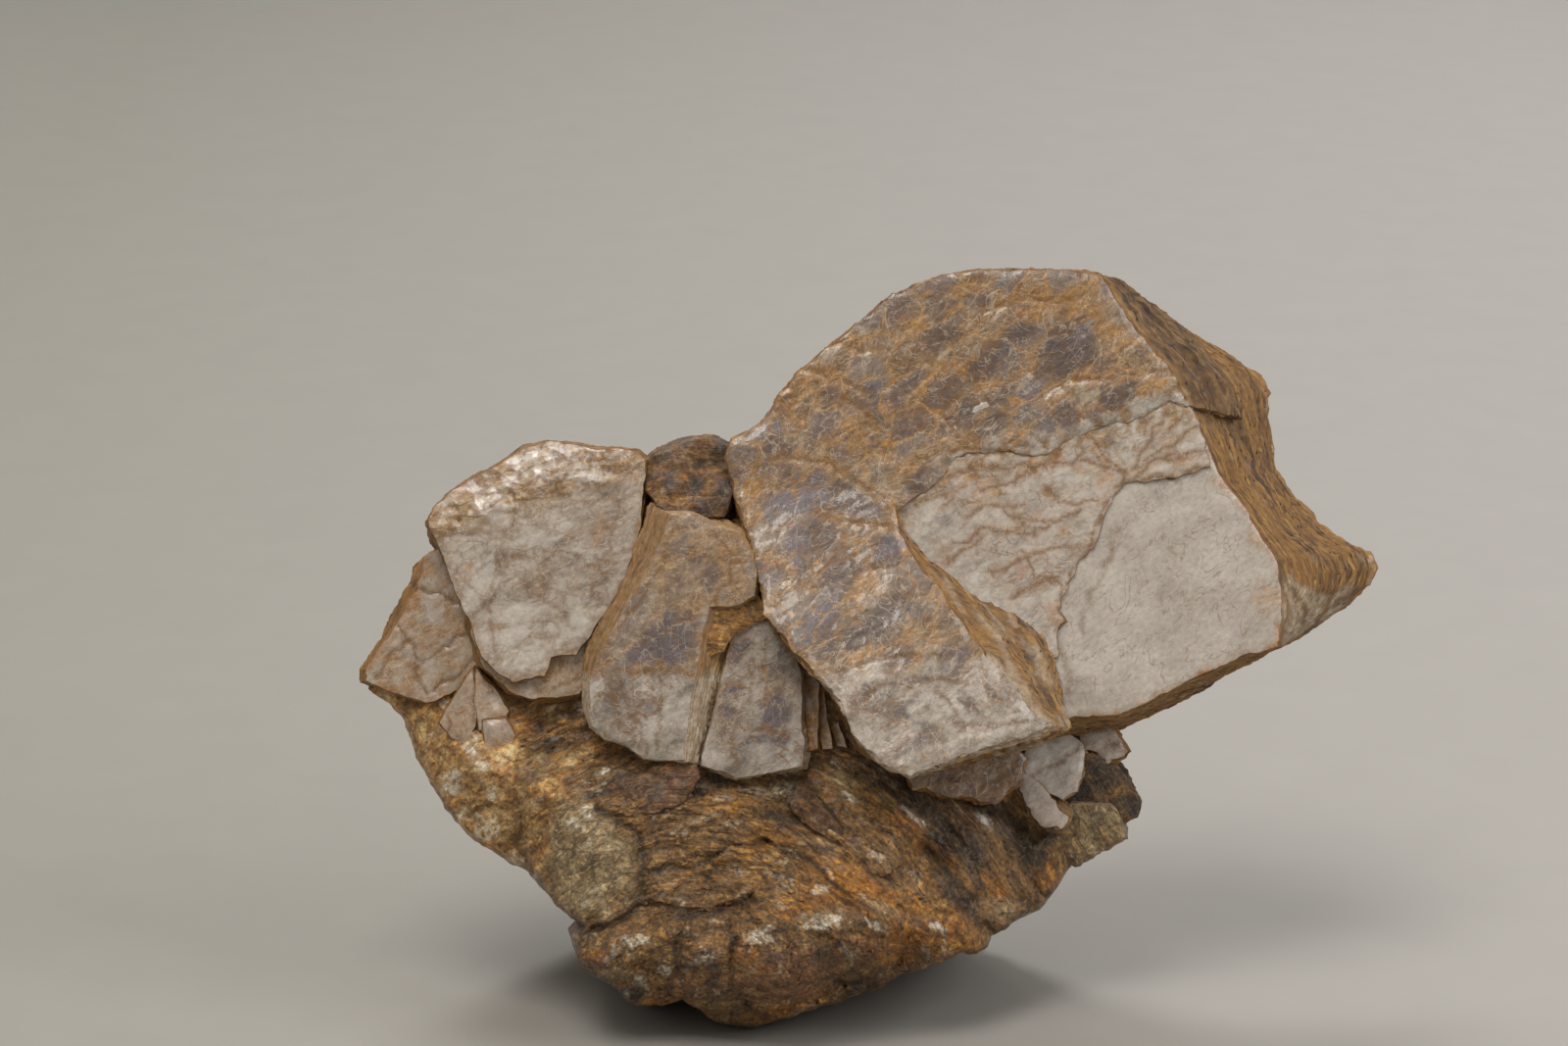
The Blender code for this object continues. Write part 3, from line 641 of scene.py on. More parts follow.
def edge_colour(tree, place):
    """Ochre sheet edges, each with the tone of its leaf, under rust, cream and dark stains; on the smoky
    pack's upper side the dark one is partly painted shade.
    """
    wavy, lines, torn_bits = edge_lines(tree, place)
    tone = node(tree, "Math", lines, 0.8, ["tone", 0.14], operation="MULTIPLY_ADD")
    tone = node(tree, "Math", torn_bits, 0.2, tone, operation="MULTIPLY_ADD")
    base = node(tree, "ValToRGB", tone, stops=[
        (0.39, "#2e1d0b"), (0.47, "#563a17"), (0.56, "#7a5527"), (0.65, "#91692e"), (0.74, "#aa8444"),
        (0.83, "#c6a66c")])
    rust = node(tree, "ValToRGB", tone, stops=[(0.42, "#37200b"), (0.53, "#6f4716"), (0.66, "#946424"),
                                               (0.78, "#ad8445")])
    cream = node(tree, "ValToRGB", torn_bits, stops=[(0.34, "#7d6851"), (0.45, "#99876f"), (0.56, "#b3a38f"),
                                                     (0.68, "#c9beae")])
    lens = mottled(tree, streaked(tree, wavy, 0, 2.6, 2.6, 1.1), [(0.6, 0.0), (0.68, 0.3)], 1.0, 6.0, 0.62)
    dark = node(tree, "ValToRGB", tone, stops=[(0.42, "#1e150d"), (0.56, "#4b3722"), (0.76, "#7c6446")])
    return painted(tree, base, (rust, "rust"), (cream, node(tree, "Math", ["white", 0.9], lens,
                                                            operation="MAXIMUM")),
                   (dark, "dark"), ("#5a3d1c", "line"))


def edge_roughness(tree, place):
    return mottled(tree, streaked(tree, place, 0, 4.0, 4.0, 0.5), [(0.3, 0.5), (0.7, 0.75)], 1.0, 5.0)


def edge_bumps(tree, place):
    _, lines, torn_bits = edge_lines(tree, place)
    return node(tree, "Math", torn_bits, 0.25, lines, operation="MULTIPLY_ADD")


laminated = new_material("muscovite_torn_sheet_edges", edge_colour, edge_roughness, edge_bumps, 0.09,
                         coat=0.04, coat_roughness=0.3)

# %% [markdown]
# ## The fibrous mass
#
# The books stand on a mass of matted mica, its plates bent and pressed into long streaks, stained
# brown, orange and nearly black by iron. The streaks arch over the mass: level on the left, steep
# on the right. The pattern is drawn in arched coordinates, along and across circles round one
# point. Where a bent sheet lies bare it shines like crumpled foil, so there it is smooth and half
# metallic, and at its glints its colour is lifted near white as a painted highlight. The grooves and
# the low places between the ridges are darkened as painted shade.

# %% Iron-stained mica mass
ARCH_CENTRE = (-17.0, -1.5)  # mm, the point that the streaks curve round
ARCH_RADIUS = 20.0  # mm, where one turn along the arch is drawn at its true length


def arched(tree, place, along, across, deep):
    """Coordinates along and across the arching streaks: sizes in mm to one unit of a pattern."""
    centred = node(tree, "VectorMath", place, (*ARCH_CENTRE, 0), operation="SUBTRACT")
    x, h, out = node(tree, "SeparateXYZ", centred).node.outputs
    turn = node(tree, "Math", x, h, operation="ARCTAN2")
    radius = node(tree, "VectorMath", node(tree, "CombineXYZ", x, h), operation="LENGTH", out="Value")
    return node(tree, "CombineXYZ", [turn, ARCH_RADIUS / along], [radius, 1 / across], [out, 1 / deep])

# %% Colours of the mass


def mass_colour(tree, place):
    """Brown fibres with orange, dark, mauve, golden and pale stains, near-white painted highlights on
    bare sheets and painted shade in the grooves, over shards of their own grey.
    """
    wavy = bent(tree, bent(tree, place, 5.0, 2.0), 1.2, 0.7)
    fibres = node(tree, "TexNoise", arched(tree, wavy, 2.0, 0.45, 1.4), 1.0, 9.0, 0.78)
    lumps = node(tree, "TexNoise", bent(tree, place, 2.0, 1.4), 0.5, 9.0, 0.76)
    streaks = painted(tree, fibres, (lumps, "calm"))
    blots = node(tree, "TexNoise", arched(tree, wavy, 5.0, 2.2, 4.0), 1.0, 7.0, 0.62)
    base, orange, dark, mauve = [node(tree, "ValToRGB", streaks, stops=stops) for stops in (
        [(0.34, "#2c1a08"), (0.43, "#5d3c15"), (0.51, "#855c27"), (0.59, "#a07a43"), (0.72, "#c2a56b")],
        [(0.34, "#4c2806"), (0.44, "#864e0a"), (0.54, "#a96e1b"), (0.68, "#cc9942")],
        [(0.36, "#110903"), (0.48, "#2c1b0a"), (0.6, "#4a3117"), (0.74, "#795d36")],
        [(0.34, "#5e3a1f"), (0.5, "#925d35"), (0.7, "#bf8f5c")])]
    gold = mottled(tree, place, [(0.34, "#70441a"), (0.44, "#a4743a"), (0.53, "#c0975a"), (0.64, "#dac090")],
                   0.55, 9.0, 0.7)
    pale = mottled(tree, place, [(0.34, "#6a5433"), (0.47, "#937b55"), (0.64, "#bba780")], 0.8, 9.0, 0.72)
    shard = node(tree, "TexVoronoi", arched(tree, wavy, 1.0, 0.4, 0.8), 1.0, out="Color")
    shade = node(tree, "ValToRGB", node(tree, "SeparateColor", shard),
                 stops=[(0.0, 0.18), (0.9, 0.72), (1.0, 1.0)])
    walls = node(tree, "TexVoronoi", arched(tree, wavy, 3.4, 1.2, 2.4), 1.0, feature="DISTANCE_TO_EDGE")
    cracks = node(tree, "ValToRGB", walls, stops=[(0.0, 0.6), (0.06, 0.0)])
    return painted(
        tree, base,
        (orange, ["rust", node(tree, "ValToRGB", blots, stops=[(0.36, 0.25), (0.52, 1.0)])]),
        (dark, ["dark", node(tree, "ValToRGB", blots, stops=[(0.32, 0.5), (0.52, 1.0)])]),
        # The foil stain lifts the colour near white: a painted highlight on the shiny bare sheets.
        (mauve, "mauve"), (gold, "gold"), (pale, "white"), ("#efe5d0", ["foil", 0.9]),
        (shade, 0.6, "OVERLAY"), (grit(tree, place, 0.4, 0.35, 0.65), 0.9, "OVERLAY"),
        ("#1d1107", [cracks, node(tree, "ValToRGB", "gold", stops=[(0.0, 1.0), (0.6, 0.2)])]),
        ("#a98f64", [crossed(tree, place, (40, 1.4, 0.02), (-60, 1.6, 0.018)), 0.3]))

# %% Shine and fibres of the mass


def mass_roughness(tree, place):
    patchy = mottled(tree, arched(tree, place, 1.6, 0.7, 2.0), [(0.38, 0.34), (0.62, 0.7)], 1.0, 6.0)
    return painted(tree, patchy, ("#383838", "foil"))


def mass_bumps(tree, place):
    streaks = node(tree, "TexNoise", arched(tree, place, 2.4, 0.35, 1.0), 1.0, 9.0, 0.7)
    return node(tree, "Math", node(tree, "TexNoise", place, 1.2, 8.0, 0.7), 0.5, streaks,
                operation="MULTIPLY_ADD")


mass_finish = new_material("iron_stained_mica_mass", mass_colour, mass_roughness, mass_bumps, 0.38,
                           coat=0.12, coat_roughness=0.25)
foil_tree = mass_finish.node_tree
foil_tree.links.new(node(foil_tree, "Math", "foil", 0.4, operation="MULTIPLY"),
                    foil_tree.nodes["Principled BSDF"].inputs["Metallic"])

# %% [markdown]
# ## The great book
#
# On the real specimen a thick pale book carries a smoky pack that has lifted off its foot, and
# the bare pearly face shows where sheets have come away. Three books are lofted one over the
# other: the pale slab, the few torn sheets left on it, and the smoky top pack. The slab's right
# edge falls back in many sheets, which is why its front and back outlines differ most there.

# %% The pale slab
CRACK_MM = 0.2  # half the width of an open crack


def slab_plane(x, h):
    """The slab's flat face, which turns a little to the right and up."""
    return 4.0 - 0.06 * (x - 30) - 0.05 * (h - 47)


SLAB_SEAMS = [[(19.4, 39.8), (20.5, 37.5), (20.7, 35.6), (21.2, 33)],
              [(22, 41), (23.4, 45), (25, 48), (25.6, 51)]]


def slab_face(x, h):
    relief = 0.12 * rough(x / 11, h / 11, 21) + 0.02 * rough(*grain(x, h, 30, 3.0, 1.0), 22)
    steps, _ = terraces(rough(*grain(x, h, 60, 9.0, 5.0), 23, 5), 3, 0.05)
    relief = relief + 0.09 * steps
    for crack in SLAB_SEAMS:
        relief = relief - 0.15 * beside(crack, x, h, CRACK_MM)
    return slab_plane(x, h) + relief


# %% Stains of the slab
TIP_FACETS = [(42.4, 47), (45, 45.2), (47.9, 44.2), (50, 45.4), (51, 44.6), (49, 42.2), (46, 40.6),
              (42.5, 39)]
TIP_CREASES = [[(42.4, 47.5), (43, 43), (42.5, 39.4)], [(47.9, 44.4), (47.6, 42.6), (46, 40.8)],
               [(43, 46.5), (44.5, 43.5), (45.2, 41.3)],
               [(48.4, 43.4), (52, 45)]]


def slab_paint(x, h):
    line = 0.6 * veins(x, h, SLAB_SEAMS + TIP_CREASES, 0.25, 24)
    rust = 0.5 * patches(x, h, [(41, 44, 2), (40, 50, 1.3), (36.4, 56, 1.2)])
    smoke = patches(x, h, [(25, 49.5, 2.4, 1.4, 40), (29, 54, 2.0, 1.2, 30), (22, 35, 1.6),
                           (31, 45, 2.5, 1.4, 60)])
    facets = soften(within(TIP_FACETS, x, h), -0.3, 0.5)
    return {"rust": rust, "smoke": 0.3 * smoke, "white": 0.85 * facets * (1 - line), "line": line}

# %% Loft the slab
slab_corners = [
    (9, 30, 13.5, 26.3), (16, 30.6, 17, 27.8), (21, 31.9, 21, 29.2), (26, 32.3, 26, 30.4),
    (30, 34.2, 30.3, 32.1), (34, 36.2, 34.5, 34.4), (38, 38, 39.5, 37.3), (42, 39.2, 44.5, 39.8),
    (42.4, 42, 50, 43.1), (42.4, 45, 52.6, 45.2), (42.2, 46.4, 53.1, 47), (41.9, 47.8, 52.4, 48.6),
    (40.2, 50.4, 48.2, 50.6), (38.3, 53.6, 44.6, 54.4), (36.2, 56.6, 42.9, 57.2),
    (34.6, 60.2, 42.2, 61), (33, 63.8, 42, 63.6), (31.5, 66.5, 42.1, 65), (29.5, 69, 41.2, 66.8),
    (28, 70.5, 39.6, 67.9), (26.5, 72.5, 36.5, 69.8), (25.5, 74, 33, 71.8), (24.6, 75, 30, 73.6),
    (23.5, 76, 28.4, 74.7), (22, 76.3, 26, 76), (18, 75.5, 20, 76.2), (12, 72, 12, 74),
    (4, 64, 1, 67), (0, 54, -6, 60), (2, 44, -8, 50), (5, 36, -4, 40), (7, 32, 4, 31),
]
SLAB_EDGE = ((0, 0), (0.06, 0.08), (0.2, 0.2), (0.26, 0.3), (0.5, 0.52), (0.56, 0.6), (0.8, 0.82), (1, 1))
book("great_slab", slab_corners, slab_face, 9.5, 84, pearly, laminated, fray=0.4, seed=11, profile=SLAB_EDGE,
     rim=0.9, paint=slab_paint)

# %% [markdown]
# ## The torn sheets
#
# A few sheets still cling to the slab, torn along rusty veins and smudged grey where air lies
# under them. The veins could be carved, but the real ones are stains with hardly any depth, so
# they're painted as numbers on the points, and only the torn border is real.

# %% The torn sheets left on the slab
TORN_BORDER = [(18.5, 57.5), (22.5, 58.1), (26.6, 56.7), (26, 55.2), (24.5, 53.7), (24, 51.3), (23.2, 49.2),
               (21.5, 47.1), (20.6, 45.2), (19.6, 43.7), (20.6, 41.7), (19.6, 40.5)]
PACK_EDGE = [(3, 53), (8.6, 57.4), (18.5, 58.7), (28.5, 62.6), (33, 64)]  # where the pack above ends
TORN_VEINS = [[(6.3, 56), (11.2, 57.2), (16.8, 57.4), (18.5, 57.2)], [(12, 55.2), (14.4, 55.4), (18.2, 57.6)],
              [(8.2, 53.3), (10.3, 55.4)], [(9, 49.5), (13, 51), (17, 50.5), (22, 53)],
              [(13, 46.5), (17, 48.5), (22, 49.5)], [(27, 57.3), (28.3, 58.7), (31.3, 63.7)],
              [(27, 55.6), (31, 56.4), (35.3, 57.5)],
              [(27.6, 57.4), (29.4, 58.3), (33.7, 61.3), (35, 60.6)], [(26, 55.5), (30, 58), (35, 59)],
              [(22, 60.6), (25, 58.4), (26.6, 56.7)],
              [(8, 47.6), (12, 50)], [(15, 44), (18.4, 45.6)], [(10, 57), (14, 59)], [(19, 57.6), (21, 61)],
              [(14, 53.4), (16, 51.6), (20.6, 52.4)], [(10.6, 52.4), (12.4, 53.6), (16, 53.4)],
              [(16, 48.6), (17.4, 46.4), (20, 45.6)],
              [(18.4, 55.6), (20, 53.6), (23.6, 54)], [(19.6, 43), (21, 41.4)]]


def torn_face(x, h):
    tears, _ = terraces(rough(*grain(x, h, STREAK, 6.0, 2.2), 33, 5), 4, 0.06)
    return slab_plane(x, h) + 0.6 + 0.1 * tears + 0.012 * rough(*grain(x, h, STREAK, 1.6, 0.5), 34, 3)

# %% Stains of the torn sheets
TORN_RUST = [
    (12.2, 54.7, 1.8), (19.5, 42.6, 1.5), (17.5, 52.3, 1.0), (24.8, 56, 1.6), (10.4, 56.2, 1.3),
    (14.8, 53, 1.2, 0.6, 20), (20.4, 50.6, 1), (16, 46.6, 1.4, 0.6, 40), (22, 57, 1.4, 0.7, 0),
    (28, 57.2, 2.6, 0.8, 20), (33, 58.2, 2.6, 0.7, 20), (31, 61, 2.2, 0.6, 60), (35, 60, 1.4, 0.5, 80),
]
TORN_SMOKE = [
    (9, 52, 3.4, 1.8, STREAK), (15, 50, 3.4, 1.8, STREAK), (19, 47, 3, 1.6, STREAK), (13, 56.4, 3, 1.2, 20),
    (18, 54, 3, 1.6, STREAK), (21, 50.6, 2.2, 1.4, 50), (24, 59, 3, 1.4, 20), (16, 46, 2.5, 1.5, STREAK),
    (29, 60, 3, 1, 30), (32, 58.4, 2, 0.7, 10), (11, 47.6, 2, 1, STREAK), (17.6, 42.6, 1.6, 0.8, 40),
]


def torn_paint(x, h):
    _, rises = terraces(rough(*grain(x, h, STREAK, 6.0, 2.2), 33, 5), 4, 0.12)
    edge = veins(x, h, [TORN_BORDER], 0.5, 35)
    rust = 0.6 * rises + 0.5 * edge + 0.6 * veins(x, h, TORN_VEINS, 0.6, 36)
    line = 0.85 * np.maximum(veins(x, h, [TORN_BORDER], 0.2, 35), veins(x, h, TORN_VEINS, 0.2, 36))
    spots = patches(x, h, TORN_RUST)
    smoke = patches(x, h, TORN_SMOKE)
    near = 2.6 * rough(x / 1.8, h / 1.8, 37, 4) - away_from(PACK_EDGE, x, h)
    tan = np.maximum(0.16 + 0.5 * rough(x / 3, h / 2, 38, 4), 0.9 * soften(near, -2.4, -0.6))
    return {"rust": np.maximum(rust, spots), "smoke": 1.2 * smoke, "tan": tan, "line": line,
            "net": 0.4 + 0 * x, "white": 0.4 * (1 - tan)}

# %% Loft the torn sheets
torn_corners = [
    (19.8, 38.5), (19.7, 40.5), (20.6, 41.7), (19.7, 43.7), (20.6, 45.2), (21.6, 47.1), (23.3, 49.2),
    (24.1, 51.3), (24.6, 53.7), (26.2, 55.2, 26.6, 55.1), (30.5, 56.4, 30.7, 55.8), (35.3, 57.3, 36, 56.6),
    (34.8, 60.2, 35.4, 60.4), (33.2, 63.4, 33.8, 63.8), (26, 67), (12, 64), (2, 56), (1.5, 50),
    (6, 44), (12, 38), (17, 35),
]
book("torn_sheets", torn_corners, torn_face, 2.3, 8, pearly, laminated, spacing=0.26,
     tear=0.5, seed=12, roll=0.2, rim=0.8, paint=torn_paint)

# %% [markdown]
# ## The smoky top pack
#
# The pack over the slab has lifted off its foot and curls toward the viewer, and its long left
# foot is bare and white. A flat plate would look pasted on, so its plane rises below a bend, and
# its side steps out in a few wide treads, as sheets tear in packs. A coarse book behind it fills
# the wedge that it leaves.

# %% The smoky top pack
SHEET_BEND_H = 55.0  # mm, below which the top pack lifts off the slab
SHEET_LIFT = 0.27  # its rise for each mm below that
LIFT_FADE, LIFT_FADE_X = 0.25, 4.0  # the lift ends sooner to the right of this x
SHEET_GAP = 0.9  # mm from the slab's face to the pack's above it


def pack_plane(x, h):
    """The pack's face: it lies over the slab's, and lifts off it below the bend."""
    below = SHEET_BEND_H - h - LIFT_FADE * np.maximum(0.0, x - LIFT_FADE_X)
    return slab_plane(x, h) + SHEET_GAP + SHEET_LIFT * np.maximum(0.0, below)


PACK_SEAMS = [
    [(-2.2, 69.8), (-0.2, 68.9), (2.4, 69.1)], [(-5.8, 67.4), (-2.4, 66), (0.5, 64.6)],
    [(-1.9, 64.1), (0, 62.6), (1.4, 60.7), (2.2, 58.1)], [(-8.9, 58.3), (-3.6, 57.6), (-1.2, 55.9),
                                                          (2.9, 54)],
    [(-4.8, 52.6), (-0.5, 51.6), (2.9, 51.4)], [(4.8, 57.6), (7.2, 58.6), (11, 59), (16.8, 59.4)],
    [(9.6, 64.6), (8.2, 62.6), (10.3, 59)], [(36, 62), (33.5, 61.5), (31, 60), (29, 59)],
    [(18, 64), (21, 66), (26, 66.4), (31, 67)], [(12, 73), (16, 74.4), (21, 74)],
]
FOOT_CRACKS = [[(6.1, 36), (10.8, 35.7)], [(7.1, 35), (8.6, 33.4), (10.1, 31.3)],
               [(8.8, 31.3), (13.5, 31.5), (18.4, 31.6)],
               [(11.1, 38.7), (12.5, 34)], [(13.5, 36.7), (15.2, 32.6)],
               [(-3, 36.6), (1, 37.8), (5, 38.4), (9, 38.2)], [(-1, 33), (2, 35.6), (5, 35)]]


def pack_face(x, h):
    tears, _ = terraces(rough(*grain(x, h, STREAK, 10.0, 5.0), 41, 5), 4, 0.05)
    fine = rough(*grain(x, h, STREAK, 2.4, 0.7), 43, 3)
    relief = 0.3 * rough(x / 15, h / 15, 42, 3) + 0.16 * tears + 0.03 * fine
    relief = relief - 0.12 * veins(x, h, PACK_SEAMS, 0.3, 45)
    for crack in FOOT_CRACKS:
        relief = relief - 0.1 * beside(crack, x, h, CRACK_MM)
    return pack_plane(x, h) + relief

# %% Stains of the smoky pack
PACK_RUST = [
    (-1.2, 60.5, 2.2), (2.4, 58.8, 1.5), (18, 73.7, 3.4, 2, 20), (4.8, 71.3, 1.5), (3.4, 69.9, 1),
    (7.7, 67.2, 1), (2.4, 63, 1), (-2.5, 66, 2.4, 0.8, -14), (25, 71, 2.6, 1.2, -30),
    (11, 75.4, 3, 0.9, 10), (30, 66, 2.5, 1, 10), (-11, 57.4, 1.6, 0.7, 60), (1, 46, 2, 1, -40),
]
PACK_WINDOWS = [
    (20.4, 68.4, 4.6, 2.6, 35), (7.7, 70.6, 2.6, 1.6, 30), (0, 64.1, 2, 1.4, 20), (1.2, 61.9, 1.3),
    (12, 67.2, 3, 1.4, 35), (9.6, 63.1, 2.6, 1.6, 40), (13, 61.6, 2.4, 1.4, 30), (6.2, 55.9, 2.4, 1.5, 30),
    (0, 53.3, 2.8, 1.8, 20), (-4.3, 50.4, 3.2, 2.2, 60), (15, 70.6, 3, 1.2, 35), (26, 64.6, 3, 1.2, 30),
    (-9, 59.7, 1.6, 1, 40), (-2.6, 46, 3.4, 1.8, 50), (2, 42, 3, 1.6, 50), (-6, 47, 2, 1, 60),
    (5, 43, 2, 1, -50), (-0.6, 40, 2, 1, 40), (13.6, 64.4, 2.4, 1, 35), (5, 66, 2, 1, 35),
]
# Painted shade on the smoky pack: two patches on its lifted lower part and one on its left.
PACK_PAINTED_SHADE = [(1, 42, 5, 3, 50), (5, 44.6, 3, 1.6, -50), (-6, 53, 5, 3, 30)]
PACK_LILAC = [
    (-6.5, 54.5, 4, 2.4, 30), (-9.4, 61.7, 2, 1.4, 30), (3, 49.4, 2.4, 1.2, 40), (-7, 49.4, 1.6, 2.6, 0),
    (17, 65, 2.2, 1, 35), (-4, 42.6, 2.6, 1.2, 50), (22.4, 71, 2, 1, 35),
]
FOOT_SMUDGES = [
    (3, 33, 2, 1.5, 20), (6.6, 30.6, 2.1, 1.4, 30), (-2.4, 37, 1.4, 0.7, 40), (13, 34.6, 1.2, 0.6, -40),
    (9.6, 36.8, 1.4, 0.5, 10), (0.6, 34.8, 1.1), (10.4, 33.6, 1.4, 0.7, -40), (5.4, 36, 1.6, 0.6, 20),
]
PACK_WHITE = [
    (21, 60.8, 3, 0.9, 15), (29, 63.6, 2.5, 1, 20), (-10.6, 62, 1.2), (-3, 68.6, 1.6, 0.8, 35),
]


def pack_paint(x, h):
    _, rises = terraces(rough(*grain(x, h, STREAK, 10.0, 5.0), 41, 5), 4, 0.1)
    spots = patches(x, h, PACK_RUST)
    # The windows take PACK_PAINTED_SHADE too, at half strength: painted shade, not clear sheets.
    window = patches(x, h, PACK_WINDOWS) + 0.5 * patches(x, h, PACK_PAINTED_SHADE)
    lilac = patches(x, h, PACK_LILAC)
    edge = 37.6 + 0.1 * (x - 2) + 1.6 * rough(x / 4, h / 4, 44)
    foot = soften(edge - h, -0.5, 1.6)
    smudges = patches(x, h, FOOT_SMUDGES, 0.6)
    bare = 1 - 0.85 * smudges
    white = 0.85 * foot * bare + 0.4 * patches(x, h, PACK_WHITE)
    near = 2.6 * rough(x / 1.8, h / 1.4, 39, 4) - away_from(PACK_EDGE, x, h)
    white = np.maximum(white, 0.85 * soften(near, -1.5, -0.3) * soften(x, 5, 9))
    keep = 1 - 0.9 * foot
    seams, lines = veins(x, h, PACK_SEAMS, 0.6, 46), veins(x, h, PACK_SEAMS, 0.2, 46)
    cracks = veins(x, h, FOOT_CRACKS, 0.22, 47)
    beyond = soften(-within([c[:2] for c in pack_corners], x, h), 0.3, 0.8)
    band = soften(53 - h, -1, 1)
    layers = np.clip(1.2 * rough(*grain(x, h, -58, 5.0, 0.8), 48, 3), 0, 0.6)
    white = white * (1 - beyond) + beyond * band * layers
    # Above h 53 the pack's torn side is darkened: partly its own brown, partly painted shade on the side
    # turned from the light.
    slope = beyond * (1 - band)
    return {"rust": np.maximum(0.8 * np.maximum(spots, seams), 0.3 * rises) * keep + 0.4 * slope,
            "white": white, "dark": 0.6 * slope, "line": 0.75 * cracks + 0.7 * lines,
            "window": np.maximum(0.9 * window * keep, 0.9 * foot * smudges), "lilac": 0.95 * lilac * keep}

# %% Loft the pack and its foot
pack_corners = [
    (4.6, 26.6), (8.5, 28.3, 9, 27.3), (13.5, 29.8, 14, 28.5), (17, 30.8, 17.5, 29.4),
    (18.6, 31.4, 20.8, 31.2), (17, 32.6, 19.9, 34), (14.6, 35.6, 19.2, 37.6), (12, 38.8, 18.4, 40.6),
    (9.8, 41.8, 16.4, 42.8), (7.6, 44.8, 12.6, 45.4), (5.4, 47.8, 8.6, 47.8), (3.4, 51, 4.4, 51.2),
    (3, 53, 4, 52.6), (5.5, 54.2), (7.5, 55.6), (8.6, 57.4), (10.5, 59), (14, 58.8), (18.5, 58.7),
    (21, 60.1), (25, 61.8), (28.5, 62.6), (31, 64), (33, 63.6, 38.5, 62.5), (31.8, 66, 37.5, 66),
    (29.2, 69.3, 35, 69), (27.2, 71.8, 31.8, 72), (25.5, 74.5, 28.8, 74.5), (24, 76.8, 26.2, 76.2),
    (21.5, 77.2, 21.5, 76.8), (18, 77.2, 18, 76.6), (14, 77.2, 14, 76.4), (11, 77.2, 11, 76.2),
    (8, 76.5, 8.4, 75.4), (5, 75.6, 5.6, 74.4), (2, 73.9, 2.8, 72.8), (-1, 71.4, 0, 70.4),
    (-3.6, 69.1, -2.6, 68.2), (-6.2, 67.2, -5.2, 66.2), (-8.8, 64.6, -7.4, 64), (-9.4, 62.6),
    (-10.2, 61.4), (-13.2, 60.1, -12, 59.2), (-13.8, 58.2), (-13.2, 55.6), (-12.1, 51.6),
    (-10.9, 48.6), (-10.2, 45.4), (-9.8, 42.6), (-6.6, 38.4), (-3.2, 35), (-1, 31.6), (-0.4, 29.8),
    (2, 27.7),
]
FEATHERED = ((0, 0), (0.1, 0.06), (0.14, 0.34), (0.3, 0.42), (0.46, 0.5), (0.5, 0.8), (0.62, 0.9), (0.7, 1),
             (1, 1))
book("smoky_pack", pack_corners, pack_face, 5.5, 60, smoky, laminated, spacing=0.26, tear=0.4,
     fray=0.45, seed=13, profile=FEATHERED, roll=0.22, worn=0.7, rim=0.3, paint=pack_paint)
foot_corners = [
    (4.8, 27), (9, 28.2), (14, 29.6), (17, 31), (14, 36), (9, 42), (5, 48), (4, 56), (-2, 63),
    (-8, 63.6), (-10, 61.4), (-12.6, 59.6), (-13.2, 58, -14.2, 58), (-12.8, 55.4, -14, 55.4),
    (-11.8, 51.4, -13, 51.4), (-10.6, 48.4, -11.8, 48.4), (-9.9, 45.2, -11.1, 45.2),
    (-9.4, 42.4, -10.6, 42.2), (-6.3, 38.2, -7.2, 37.8), (-2.9, 34.8, -3.8, 34.4),
    (-0.7, 31.4, -1.6, 31), (-0.1, 29.6, -0.8, 29), (2.4, 27.8, 2, 27.4),
]
book("smoky_pack_foot", foot_corners, lambda x, h: pack_plane(x, h) - 4.9, 5.0, 26, laminated, laminated,
     spacing=2.0, seed=37, roll=0.1)

# %% [markdown]
# ## The books on the left
#
# The silvery left book rolls back at its top, where the bent sheets catch the light. Under it lie
# a few darker leaves. The bend could be a modifier's, but a height that falls with the square of
# the distance past a line is simpler and stays exact, so the face's own function rolls it.

# %% The silvery left book
SHOULDER_X, SHOULDER_H, SHOULDER_RISE = -43.5, 50.0, 0.34  # the line where the sheets bend back
SHOULDER_ROLL = 0.10  # how fast they bend
SHOULDER = [(-42.5, 50.3), (-36, 51), (-33, 53.5), (-30, 53.8), (-26, 54), (-22.5, 54.8)]


def left_plane(x, h):
    return 6.0 + 0.04 * (x + 33) - 0.02 * (h - 47)


def left_past(x, h):
    """How far a point is above the line where the left book's sheets bend back, in mm."""
    return h - SHOULDER_H - SHOULDER_RISE * (x - SHOULDER_X)


def left_face(x, h):
    past = np.maximum(0.0, left_past(x, h))
    scales, _ = terraces(rough(x / 3.6, h / 2.2, 51, 4), 5, 0.12)
    relief = 0.2 * rough(x / 9, h / 9, 52, 3) + (0.06 + 0.34 * soften(left_past(x, h), -1.5, 1.5)) * scales
    return left_plane(x, h) - SHOULDER_ROLL * past**2 + relief

# %% Stains of the left book
LEFT_SMOKE = [
    (-30, 49, 4, 2, 30), (-33, 45, 3, 1.6, 30), (-27, 46, 3, 1.6, 60), (-36, 48, 3, 1.4, 30),
    (-31, 41.6, 2.6, 1.3, 30), (-38, 44, 2, 1, 60), (-26, 51, 3.4, 2, 75), (-25.4, 55.6, 2.4, 1.6, 60),
]
LEFT_WHITE = [
    (-34.5, 58, 1.6, 0.7, 10), (-37, 52.5, 1.8, 0.8, 20), (-42, 54, 1.2, 0.6, 40),
    (-28, 56.4, 1.6, 0.6, 10),
]
LEFT_PALE = [
    (-36.6, 40, 3, 1.2, 12), (-35, 42.6, 3.4, 1, 10), (-34, 38, 2.4, 0.9, 15), (-38.4, 46, 2.4, 1.2, 60),
    (-29.6, 41.4, 2.4, 1.4, 20), (-33, 50, 2, 1, 20), (-28, 48.6, 1.4, 0.6, 0),
]
